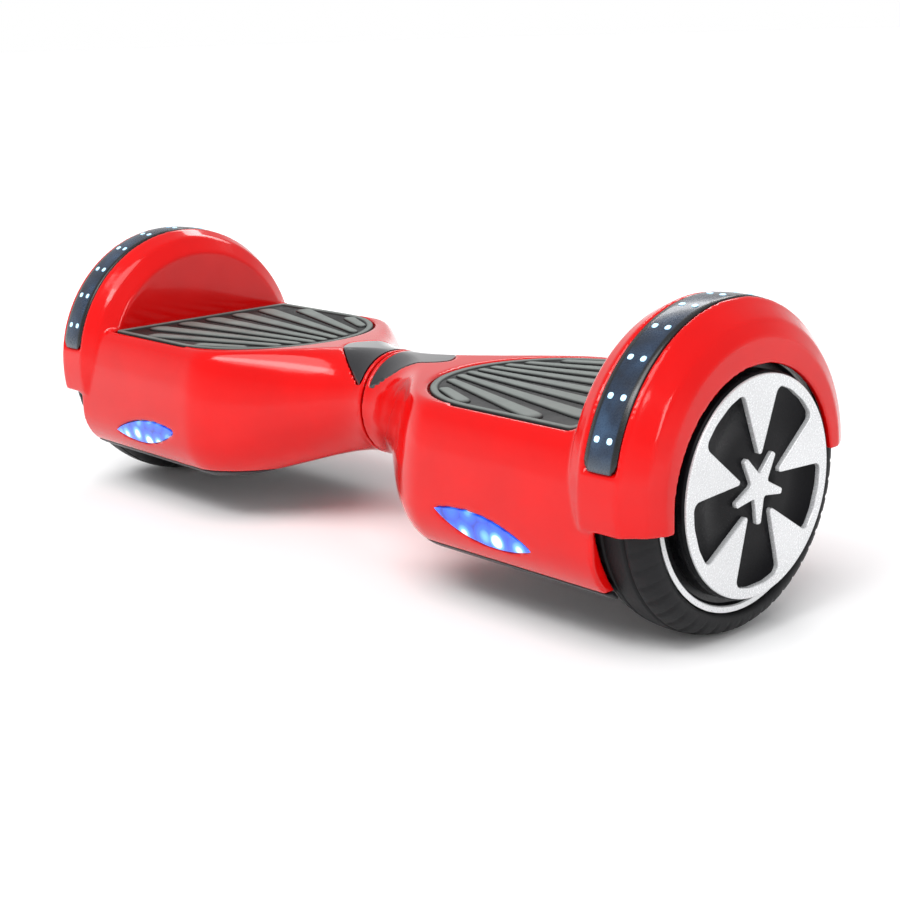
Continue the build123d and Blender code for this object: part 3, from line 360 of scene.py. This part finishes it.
def rubber(name, colour, grain_scale=1500.0, roughness=0.62, specular=0.4):
    """Moulded rubber with a fine pebble, lighter on its proud edges: painted highlight and wear."""
    m = Nodes(name)
    slow = m.noise(25.0, 4.0)
    pebble = m.add("ShaderNodeTexVoronoi", feature="SMOOTH_F1")
    pebble.inputs["Scale"].default_value = grain_scale
    m.join(m.place, pebble.inputs["Vector"])
    tint = m.ramp(slow, [(0.3, tuple(c * 0.75 for c in colour)),
                         (0.7, tuple(c * 1.2 for c in colour))])
    # proud edges lighter: painted highlight and wear
    tint = m.edge_wear_and_highlight(tint, tuple(min(1, c * 2.2) for c in colour), 0.5)
    m.join(tint, m.shader.inputs["Base Color"])
    m.join(m.spread(slow, roughness - 0.08, roughness + 0.08), m.shader.inputs["Roughness"])
    m.shader.inputs["Specular IOR Level"].default_value = specular
    m.bump(pebble.outputs["Distance"], 0.25, 0.0003)
    return m.material


def pad_rubber():
    """The pad's rubber: painted shade makes the grooves near black, painted light makes the rib tops
    grey-green, mottled at random.
    """
    m = Nodes("pad_rubber")
    height = m.add("ShaderNodeSeparateXYZ")
    m.join(m.place, height.inputs["Vector"])
    # mask of the rib tops, which get painted light
    rib_top_mask = m.add("ShaderNodeMapRange")
    rib_top_mask.inputs["From Min"].default_value = PAD_TOP - 0.0008
    rib_top_mask.inputs["From Max"].default_value = PAD_TOP - 0.0001
    m.join(height.outputs["Z"], rib_top_mask.inputs["Value"])
    mottle = m.noise(60.0, 5.0, 0.6)
    # rib tops: grey-green painted light, mottled at random
    lit_rib_tops = m.ramp(mottle, [(0.3, (0.125, 0.145, 0.135)), (0.7, (0.200, 0.225, 0.210))])
    mix = m.add("ShaderNodeMix", data_type="RGBA")
    m.join(rib_top_mask.outputs["Result"], mix.inputs["Factor"])
    # near black below the tops: painted shade in the grooves
    mix.inputs["A"].default_value = (0.003, 0.004, 0.004, 1)
    m.join(lit_rib_tops, mix.inputs["B"])
    m.join(mix.outputs["Result"], m.shader.inputs["Base Color"])
    pebble = m.add("ShaderNodeTexVoronoi", feature="SMOOTH_F1")
    pebble.inputs["Scale"].default_value = 1500.0
    m.join(m.place, pebble.inputs["Vector"])
    m.join(m.spread(mottle, 0.5, 0.68), m.shader.inputs["Roughness"])
    m.bump(pebble.outputs["Distance"], 0.3, 0.0003)
    return m.material


def drum_metal():
    """The drum: bright turned metal on its outermost lip; behind the lip it is near black, painted
    shade for the deep groove between the cap and the lip.
    """
    m = Nodes("drum_metal")
    _, out = m.away_from_middle()
    lip = m.add("ShaderNodeMapRange")
    lip.inputs["From Min"].default_value = rim_high.x - 0.0009
    lip.inputs["From Max"].default_value = rim_high.x - 0.0006
    m.join(out, lip.inputs["Value"])
    turned = m.noise(900.0, 2.0, 0.5, (8.0, 1.0, 1.0))
    metal = m.ramp(turned, [(0.3, (0.78, 0.79, 0.80)), (0.7, (0.88, 0.885, 0.89))])
    mix = m.add("ShaderNodeMix", data_type="RGBA")
    m.join(lip.outputs["Result"], mix.inputs["Factor"])
    # near black behind the lip: painted shade in the groove between cap and lip
    mix.inputs["A"].default_value = (0.008, 0.008, 0.009, 1)
    m.join(metal, mix.inputs["B"])
    m.join(mix.outputs["Result"], m.shader.inputs["Base Color"])
    m.shader.inputs["Metallic"].default_value = 0.2
    m.join(m.spread(turned, 0.25, 0.38), m.shader.inputs["Roughness"])
    m.bump(turned, 0.03, 0.0002)
    return m.material


def windings():
    """Varnished copper turns over dark core iron."""
    m = Nodes("windings")
    wave = m.add("ShaderNodeTexWave", wave_type="RINGS", rings_direction="X")
    wave.inputs["Scale"].default_value = 260.0
    wave.inputs["Distortion"].default_value = 0.6
    m.join(m.place, wave.inputs["Vector"])
    tint = m.ramp(wave.outputs["Fac"], [(0.2, (0.12, 0.05, 0.02)), (0.8, (0.55, 0.24, 0.08))])
    m.join(tint, m.shader.inputs["Base Color"])
    m.shader.inputs["Metallic"].default_value = 0.8
    m.join(m.spread(m.noise(500.0), 0.3, 0.5), m.shader.inputs["Roughness"])
    m.bump(wave.outputs["Fac"], 0.4, 0.0004)
    return m.material


def board_green():
    """Solder mask with faint tracks."""
    m = Nodes("board_green")
    tracks = m.add("ShaderNodeTexBrick")
    tracks.inputs["Scale"].default_value = 120.0
    tracks.inputs["Mortar Size"].default_value = 0.03
    tracks.inputs["Color1"].default_value = (0.01, 0.11, 0.045, 1)
    tracks.inputs["Color2"].default_value = (0.012, 0.14, 0.055, 1)
    tracks.inputs["Mortar"].default_value = (0.03, 0.22, 0.08, 1)
    m.join(m.place, tracks.inputs["Vector"])
    m.join(tracks.outputs["Color"], m.shader.inputs["Base Color"])
    m.join(m.spread(m.noise(300.0), 0.3, 0.45), m.shader.inputs["Roughness"])
    m.bump(tracks.outputs["Fac"], 0.2, 0.0003)
    return m.material


def woven():
    """The strap's narrow weave."""
    m = Nodes("woven_strap")
    wave = m.add("ShaderNodeTexWave", wave_type="BANDS", bands_direction="DIAGONAL")
    wave.inputs["Scale"].default_value = 420.0
    m.join(m.place, wave.inputs["Vector"])
    tint = m.ramp(wave.outputs["Fac"], [(0.2, (0.01, 0.01, 0.011)), (0.8, (0.05, 0.05, 0.055))])
    m.join(tint, m.shader.inputs["Base Color"])
    m.shader.inputs["Roughness"].default_value = 0.8
    m.bump(wave.outputs["Fac"], 0.5, 0.0004)
    return m.material


RED = plain("red_gloss", (0.64, 0.001, 0.001), 0.13, coat=0.14, spread=0.05,
            grain=(420.0, 0.012), specular=0.30)
FINISHES = {
    "red_shell": RED,
    "black_shell": plain("black_satin", (0.013, 0.013, 0.015), 0.38, grain=(1400.0, 0.25)),
    "light_strip": strip_cover(),
    "lamp_lens": lamp_glow(),
    "black_window": plain("window_black", (0.006, 0.006, 0.008), 0.06, coat=1.0,
                          grain=(300.0, 0.01)),
    "rubber_pad": pad_rubber(),
    "tyre": rubber("tyre_rubber", (0.009, 0.009, 0.010), 900.0, 0.5, 0.2),
    "cast_aluminium": plain("cast_aluminium", (0.42, 0.43, 0.45), 0.45, metallic=0.9,
                            grain=(700.0, 0.5)),
    "drum_aluminium": drum_metal(),
    "steel": plain("steel", (0.5, 0.5, 0.52), 0.3, metallic=1.0, grain=(800.0, 0.15)),
    "bronze": plain("bronze", (0.48, 0.30, 0.12), 0.35, metallic=1.0),
    "magnet": plain("magnet_nickel", (0.45, 0.45, 0.47), 0.28, metallic=1.0),
    "iron_core": windings(),
    "circuit_board": board_green(),
    "battery_wrap": plain("battery_wrap", (0.03, 0.09, 0.36), 0.3, coat=0.3,
                          grain=(200.0, 0.3)),
    "strap": woven(),
    "cable": rubber("cable_rubber", (0.012, 0.012, 0.013), 1200.0, 0.45),
    "cap_black": plain("cap_black", (0.003, 0.003, 0.004), 0.3, grain=(1600.0, 0.06),
                       specular=0.1),
    "cap_silver": plain("cap_silver", (0.70, 0.71, 0.72), 0.26, metallic=0.35, coat=0.4,
                        spread=0.05, grain=(1200.0, 0.003)),
    "port_black": plain("port_black", (0.014, 0.014, 0.015), 0.42, grain=(1500.0, 0.3)),
    "port_rubber": rubber("port_rubber", (0.018, 0.018, 0.018), 1300.0),
    "button_silver": plain("button_silver", (0.62, 0.62, 0.64), 0.3, metallic=0.9,
                           grain=(900.0, 0.1)),
}
LED = led_glow()


# ---- finishing the CAD nodes ---------------------------------------------------------
SLOT_OF = {row["node"]: row["material_slot"] for row in frame["record"]["subparts"]}


def dress_nodes():
    """Every CAD node gets its slot's finish, smooth faces and softened edges."""
    for name, node in NODES.items():
        node.data.materials.clear()
        node.data.materials.append(FINISHES[SLOT_OF[name]])
        for face in node.data.polygons:
            face.use_smooth = True
        weld = node.modifiers.new("weld", "WELD")
        weld.merge_threshold = 0.00001
        edges = node.modifiers.new("edges", "BEVEL")
        edges.width = 0.0004
        edges.segments = 2
        edges.limit_method = "ANGLE"
        edges.angle_limit = math.radians(50)
        edges.harden_normals = False
        normals = node.modifiers.new("normals", "WEIGHTED_NORMAL")
        normals.keep_sharp = False


def baked(source, name):
    """source as a new object, with its modifiers applied."""
    graph = bpy.context.evaluated_depsgraph_get()
    mesh = bpy.data.meshes.new_from_object(source.evaluated_get(graph))
    mesh.name = name
    piece = bpy.data.objects.new(name, mesh)
    bpy.context.scene.collection.objects.link(piece)
    return piece


def finish_piece(piece, body, slot, *replaced, finish=None):
    """Material (the slot's finish unless finish is given), smooth faces, body, and what it stands
    for.
    """
    piece.data.materials.clear()
    piece.data.materials.append(finish or FINISHES[slot])
    for face in piece.data.polygons:
        face.use_smooth = True
    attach(piece, body)
    if replaced:
        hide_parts(*replaced)
    return piece


def moulded(node_name, name, voxel, rounds):
    """A CAD moulding copied, remeshed and eased, so that all its edges are rounded."""
    mesh = NODES[node_name].data.copy()
    raw = bpy.data.objects.new(name + "_raw", mesh)
    bpy.context.scene.collection.objects.link(raw)
    weld = raw.modifiers.new("weld", "WELD")
    weld.merge_threshold = 0.00001
    remesh = raw.modifiers.new("remesh", "REMESH")
    remesh.mode = "VOXEL"
    remesh.voxel_size = voxel
    ease = raw.modifiers.new("ease", "SMOOTH")
    ease.factor = 0.5
    ease.iterations = rounds
    piece = baked(raw, name)
    bpy.data.objects.remove(raw)
    return piece


def link_mesh(shape, name):
    mesh = bpy.data.meshes.new(name)
    bmesh.ops.recalc_face_normals(shape, faces=shape.faces)
    shape.to_mesh(mesh)
    shape.free()
    piece = bpy.data.objects.new(name, mesh)
    bpy.context.scene.collection.objects.link(piece)
    return piece


# ---- foot pads -----------------------------------------------------------------------
RIB_PITCH = math.radians(6.1)
RIB_ANGLES = [RIB_PITCH * i for i in range(-5, 6)]
RIB_SOURCE = -0.014
RIB_HEIGHT = 0.0016
RIB_MARGIN = 0.0075
RIB_END_LENGTH = 1.6


def pad_outline(inset, count=48):
    """The pad's outline moved in by inset, with rounded corners at the straight end."""
    radius = PAD_R - inset
    corner = max(0.004 - inset * 0.5, 0.001)
    end = PAD_END - inset
    points = []
    for i in range(count + 1):
        turn = math.radians(90 + 180 * i / count)
        points.append((PAD_CX + radius * math.cos(turn), radius * math.sin(turn)))
    for side, start in ((-1, -90), (1, 0)):
        for i in range(7):
            turn = math.radians(start + 90 * i / 6)
            points.append((end - corner + corner * math.cos(turn),
                           side * (radius - corner) + corner * math.sin(turn)))
    return points


def add_ring(shape, points, z, side):
    return [shape.verts.new((side * x, y, z)) for x, y in points]


def bridge(shape, low, high):
    for i in range(len(low)):
        j = (i + 1) % len(low)
        shape.faces.new((low[i], low[j], high[j], high[i]))


def rib_span(angle):
    """Where a rib starts and ends, in x, inside the pad's margins."""
    slope = math.tan(angle)
    inside = []
    for i in range(400):
        x = PAD_CX - PAD_R + (PAD_END - PAD_CX + PAD_R) * i / 399
        y = (x - RIB_SOURCE) * slope
        left = max(PAD_CX - x, 0.0)
        if math.hypot(left, y) < PAD_R - RIB_MARGIN and x < PAD_END - 0.007:
            inside.append(x)
    return (inside[0], inside[-1]) if inside else None


def add_rib(shape, angle, side):
    """One raised rib with a rounded top and round ends."""
    span = rib_span(angle)
    if not span:
        return
    slope = math.tan(angle)
    start = Vector((span[0], (span[0] - RIB_SOURCE) * slope))
    end = Vector((span[1], (span[1] - RIB_SOURCE) * slope))
    along = (end - start).normalized()
    across = Vector((-along.y, along.x))
    half0 = 0.31 * RIB_PITCH * (span[0] - RIB_SOURCE)
    half1 = 0.31 * RIB_PITCH * (span[1] - RIB_SOURCE)
    profile = [(1.0, 0.0), (0.98, 0.35), (0.86, 0.75), (0.62, 0.95), (0.3, 1.0)]
    profile += [(-u, v) for u, v in reversed(profile)]
    tip0 = half0 * RIB_END_LENGTH
    tip1 = half1 * RIB_END_LENGTH
    length = (end - start).length
    tip = [(t * tip0, math.sqrt(1 - (1 - t) ** 2)) for t in (0.0, 0.12, 0.35, 0.65, 1.0)]
    rows = list(tip)
    rows += [(tip0 + (length - tip0 - tip1) * i / 12, 1.0) for i in range(1, 12)]
    rows += [(length - at * half1 / half0, scale) for at, scale in reversed(tip)]
    previous = None
    for at, scale in rows:
        middle = start + along * at
        half = (half0 + (half1 - half0) * at / length) * max(scale, 0.05)
        ring = []
        for u, v in profile:
            place = middle + across * (u * half)
            ring.append(shape.verts.new((side * place.x, place.y,
                                         PAD_TOP - RIB_HEIGHT + RIB_HEIGHT * v * max(scale, 0.15))))
        if previous:
            for i in range(len(ring) - 1):
                shape.faces.new((previous[i], previous[i + 1], ring[i + 1], ring[i]))
            shape.faces.new((previous[-1], previous[0], ring[0], ring[-1]))
        else:
            shape.faces.new(ring)
        previous = ring
    shape.faces.new(previous)


def foot_pad(name, side):
    """The rubber pad: a slab narrowed below, with a rim and ribs that fan out from the neck."""
    shape = bmesh.new()
    rim = PAD_TOP - 0.0002
    floor = PAD_TOP - RIB_HEIGHT
    levels = [(0.0032, PAD_BOTTOM), (0.0010, PAD_BOTTOM + 0.0018), (0.0004, PAD_BOTTOM + 0.0030),
              (0.0004, rim - 0.0014), (0.0006, rim - 0.0005), (0.0012, rim),
              (0.0040, rim), (0.0048, rim - 0.0003), (0.0052, floor + 0.0004),
              (0.0058, floor)]
    rings = [add_ring(shape, pad_outline(inset), z, side) for inset, z in levels]
    for low, high in zip(rings, rings[1:]):
        bridge(shape, low, high)
    shape.faces.new(rings[0])
    shape.faces.new(rings[-1])
    for angle in RIB_ANGLES:
        add_rib(shape, angle, side)
    return link_mesh(shape, name)


# ---- light strips --------------------------------------------------------------------
LED_COUNT = 11
LED_FIRST = 20
LED_STEP = 14
LED_OFFSET = 0.0042
LED_HALF = 0.0017


def arc_point(x, radius, turn, side):
    """A point over the arch: radius from its centre, turn up from the front."""
    return (side * x, -radius * math.cos(turn), FENDER_Z + radius * math.sin(turn))


def light_band(name, side):
    """The dark cover of the lights, crowned across, with rounded ends."""
    shape = bmesh.new()
    start = math.radians(9.9)
    half = (STRIP_X1 - STRIP_X0) / 2 - 0.0001
    outer = STRIP_R + 0.0002
    profile = [(-1.0, -0.0020), (-1.0, -0.0004), (-0.97, 0.0), (-0.7, 0.0003), (-0.35, 0.0005),
               (0.0, 0.0006), (0.35, 0.0005), (0.7, 0.0003), (0.97, 0.0), (1.0, -0.0004),
               (1.0, -0.0020)]
    count = 96
    end_length = 0.006
    rings = []
    for i in range(count + 1):
        share = i / count
        turn = start + (math.pi - 2 * start) * share
        near = min(share, 1 - share) * (math.pi - 2 * start) * STRIP_R
        narrow = 1.0
        if near < end_length:
            narrow = 1.0 - 0.30 * (1 - near / end_length) ** 2
        ring = []
        for u, lift in profile:
            ring.append(shape.verts.new(arc_point(STRIP_MIDDLE + u * half * narrow,
                                                  outer - 0.0006 + lift, turn, side)))
        rings.append(ring)
    for low, high in zip(rings, rings[1:]):
        bridge(shape, low, high)
    shape.faces.new(rings[0])
    shape.faces.new(rings[-1])
    return link_mesh(shape, name)


def led_rows(name, side):
    """Pairs of small lit chips along the band."""
    shape = bmesh.new()
    for i in range(LED_COUNT):
        turn = math.radians(LED_FIRST + LED_STEP * i)
        for offset in (-LED_OFFSET, LED_OFFSET):
            rows = []
            for grow, lift in ((1.0, 0.0), (1.0, 0.00025), (0.8, 0.00045)):
                ring = []
                for k in range(12):
                    spin = 2 * math.pi * k / 12
                    square = 1.0 / max(abs(math.cos(spin)), abs(math.sin(spin))) ** 0.6
                    dx = LED_HALF * grow * square * math.cos(spin)
                    dt = LED_HALF * grow * square * math.sin(spin) / STRIP_R
                    place = arc_point(STRIP_MIDDLE + offset + dx, STRIP_R + 0.0001 + lift,
                                      turn + dt, side)
                    ring.append(shape.verts.new(place))
                rows.append(ring)
            for low, high in zip(rows, rows[1:]):
                bridge(shape, low, high)
            shape.faces.new(rows[0])
            shape.faces.new(rows[-1])
    return link_mesh(shape, name)


# ---- wheels --------------------------------------------------------------------------
def skin_turned(shape, rings):
    """Faces between the rings of a shape that goes all the way round the axle."""
    for i, low in enumerate(rings):
        high = rings[(i + 1) % len(rings)]
        for j in range(len(low)):
            k = (j + 1) % len(low)
            shape.faces.new((low[j], low[k], high[k], high[j]))


def tyre(name, side):
    """The tyre with two ring grooves and slanted cuts across its shoulders."""
    half = TYRE_W / 2
    profile = [(-half + 0.007, 0.0650), (-half + 0.0062, 0.0704), (-half + 0.0020, 0.0709),
               (-half + 0.0004, 0.0722), (-half, 0.0745), (-half + 0.0006, 0.0772),
               (-half + 0.0022, 0.0796), (-half + 0.0045, 0.0816), (-half + 0.0072, 0.0830),
               (-half + 0.0100, 0.0839), (-0.0088, 0.0844), (-0.0080, 0.0843),
               (-0.0077, 0.0828), (-0.0063, 0.0828), (-0.0060, 0.0846), (-0.0050, 0.08485),
               (-0.0020, 0.0850)]
    profile += [(-x, r) for x, r in reversed(profile)]
    count = 432
    per_cut = 9
    cut_width = 2.0
    cut_depth = 0.0011
    tread_half = 0.0090
    shoulder_radius = 0.0765
    shape = bmesh.new()
    rings = []
    for i in range(count):
        ring = []
        for x, radius in profile:
            slant = (abs(x) - tread_half) / (half - tread_half)
            deep = 0.0
            if 0.0 < slant < 0.97 and radius > shoulder_radius:
                phase = (i + 4.0 * slant) % per_cut
                if phase < cut_width:
                    deep = cut_depth * math.sin(math.pi * phase / cut_width) ** 0.5
            turn = 2 * math.pi * i / count
            r = radius - deep
            ring.append(shape.verts.new((side * (WHEEL_X + x), r * math.cos(turn),
                                         WHEEL_Z + r * math.sin(turn))))
        rings.append(ring)
    skin_turned(shape, rings)
    return link_mesh(shape, name)


def rounded(corners):
    """A closed outline through (x, y, radius) corners, each rounded by its radius."""
    points = []
    count = len(corners)
    for i in range(count):
        here = Vector(corners[i][:2])
        before = (Vector(corners[i - 1][:2]) - here).normalized()
        after = (Vector(corners[(i + 1) % count][:2]) - here).normalized()
        half = math.acos(max(-1.0, min(1.0, before.dot(after)))) / 2
        reach = corners[i][2] / math.tan(half)
        start, end = here + before * reach, here + after * reach
        middle = here + (before + after).normalized() * (corners[i][2] / math.sin(half))
        a = start - middle
        turn = a.angle_signed(end - middle)
        for k in range(7):
            points.append(middle + Matrix.Rotation(-turn * k / 6, 2) @ a)
    return points


def polar(radius, degrees):
    turn = math.radians(degrees)
    return radius * math.cos(turn), radius * math.sin(turn)


def plate(name, outlines, x_back, x_front, edge, side):
    """A flat piece in the wheel's plane with rounded edges; outlines after the first cut it."""
    curve = bpy.data.curves.new(name, "CURVE")
    curve.dimensions = "2D"
    curve.fill_mode = "BOTH"
    curve.extrude = (x_front - x_back) / 2 - edge
    curve.bevel_depth = edge
    curve.bevel_resolution = 3
    curve.offset = -edge
    for outline in outlines:
        spline = curve.splines.new("POLY")
        spline.points.add(len(outline) - 1)
        for point, (y, z) in zip(spline.points, outline):
            point.co = (y, z, 0, 1)
        spline.use_cyclic_u = True
    raw = bpy.data.objects.new(name + "_raw", curve)
    bpy.context.scene.collection.objects.link(raw)
    piece = baked(raw, name)
    bpy.data.objects.remove(raw)
    face = Matrix(((0, 0, side, side * (x_back + x_front) / 2), (1, 0, 0, 0), (0, 1, 0, WHEEL_Z),
                   (0, 0, 0, 1)))
    piece.data.transform(face)
    if side < 0:
        piece.data.flip_normals()
    return piece


WINDOW_OUTER = 0.0545
SPOKE_TIP = 0.0150
STAR_ARM = 0.0205
TRIM_R = CAP_R - 0.0012
TRIM_FRONT = trim_high.x - 0.0001
WINDOW_FLOOR = TRIM_FRONT - 0.0034


def window_star():
    """The black area of the wheel's face: five windows that meet round the centre."""
    corners = []
    for i in range(5):
        middle = 270 + 72 * i
        corners.append((*polar(SPOKE_TIP, middle - 36), 0.0016))
        for offset in (-20.5, -7, 7, 20.5):
            bow = 0.0045 if abs(offset) > 10 else 0.02
            corners.append((*polar(WINDOW_OUTER, middle + offset), bow))
    return rounded(corners)


def centre_star():
    """The small star whose arms point into the windows."""
    corners = []
    for i in range(5):
        middle = 270 + 72 * i
        for offset in (-4.6, 4.6):
            corners.append((*polar(STAR_ARM, middle + offset), 0.0012))
        corners.append((*polar(0.0070, middle + 36), 0.0018))
    return rounded(corners)


def circle(radius, count=120):
    return [polar(radius, 360 * i / count) for i in range(count)]


def lathe(name, profile, side, count=144):
    """A closed (x, radius) outline turned round the axle."""
    shape = bmesh.new()
    rings = []
    for i in range(count):
        turn = 2 * math.pi * i / count
        rings.append([shape.verts.new((side * x, r * math.cos(turn), WHEEL_Z + r * math.sin(turn)))
                      for x, r in profile])
    skin_turned(shape, rings)
    return link_mesh(shape, name)


def wheel_face(label, side):
    """The black dish, its silver face with five windows, and the star."""
    back = cap_low.x
    rim_x = TRIM_FRONT - 0.0014
    dish = [(back, 0.0004), (back, CAP_R), (rim_x - 0.0016, CAP_R), (rim_x - 0.0005, CAP_R - 0.0004),
            (rim_x, CAP_R - 0.0014), (rim_x - 0.0002, CAP_R - 0.0026), (WINDOW_FLOOR, CAP_R - 0.0030),
            (WINDOW_FLOOR, 0.030), (WINDOW_FLOOR + 0.0004, 0.018), (WINDOW_FLOOR + 0.0009, 0.0004)]
    finish_piece(lathe(f"cap_dish_{label}", dish, side), f"{label}_wheel", "cap_black",
                 f"hub_cap_{label}")
    face = plate(f"cap_face_{label}", [circle(TRIM_R), window_star()], WINDOW_FLOOR - 0.0002,
                 TRIM_FRONT, 0.0007, side)
    finish_piece(face, f"{label}_wheel", "cap_silver", f"cap_trim_{label}")
    star = plate(f"cap_star_{label}", [centre_star()], WINDOW_FLOOR, TRIM_FRONT, 0.0008, side)
    finish_piece(star, f"{label}_wheel", "cap_silver")


def dress_side(label, side):
    """The detailed pieces of one half."""
    half, wheel, pad = f"{label}_half", f"{label}_wheel", f"{label}_pad"
    voxel = 0.0012
    upper = moulded(f"upper_shell_{label}", f"shell_top_{label}", voxel, 6)
    finish_piece(upper, half, "red_shell", f"upper_shell_{label}")
    lower = moulded(f"lower_shell_{label}", f"shell_base_{label}", voxel * 1.3, 5)
    finish_piece(lower, half, "black_shell", f"lower_shell_{label}")
    finish_piece(foot_pad(f"pad_ribbed_{label}", side), pad, "rubber_pad", f"foot_pad_{label}")
    finish_piece(light_band(f"light_band_{label}", side), half, "light_strip",
                 f"light_strip_{label}")
    finish_piece(led_rows(f"led_rows_{label}", side), half, "light_strip", finish=LED)
    finish_piece(tyre(f"tyre_tread_{label}", side), wheel, "tyre", f"tyre_{label}")
    wheel_face(label, side)


dress_nodes()
for side_label, side_sign in SIDES.items():
    dress_side(side_label, side_sign)
add_stage()
add_camera()
bpy.context.scene.view_settings.view_transform = "Standard"
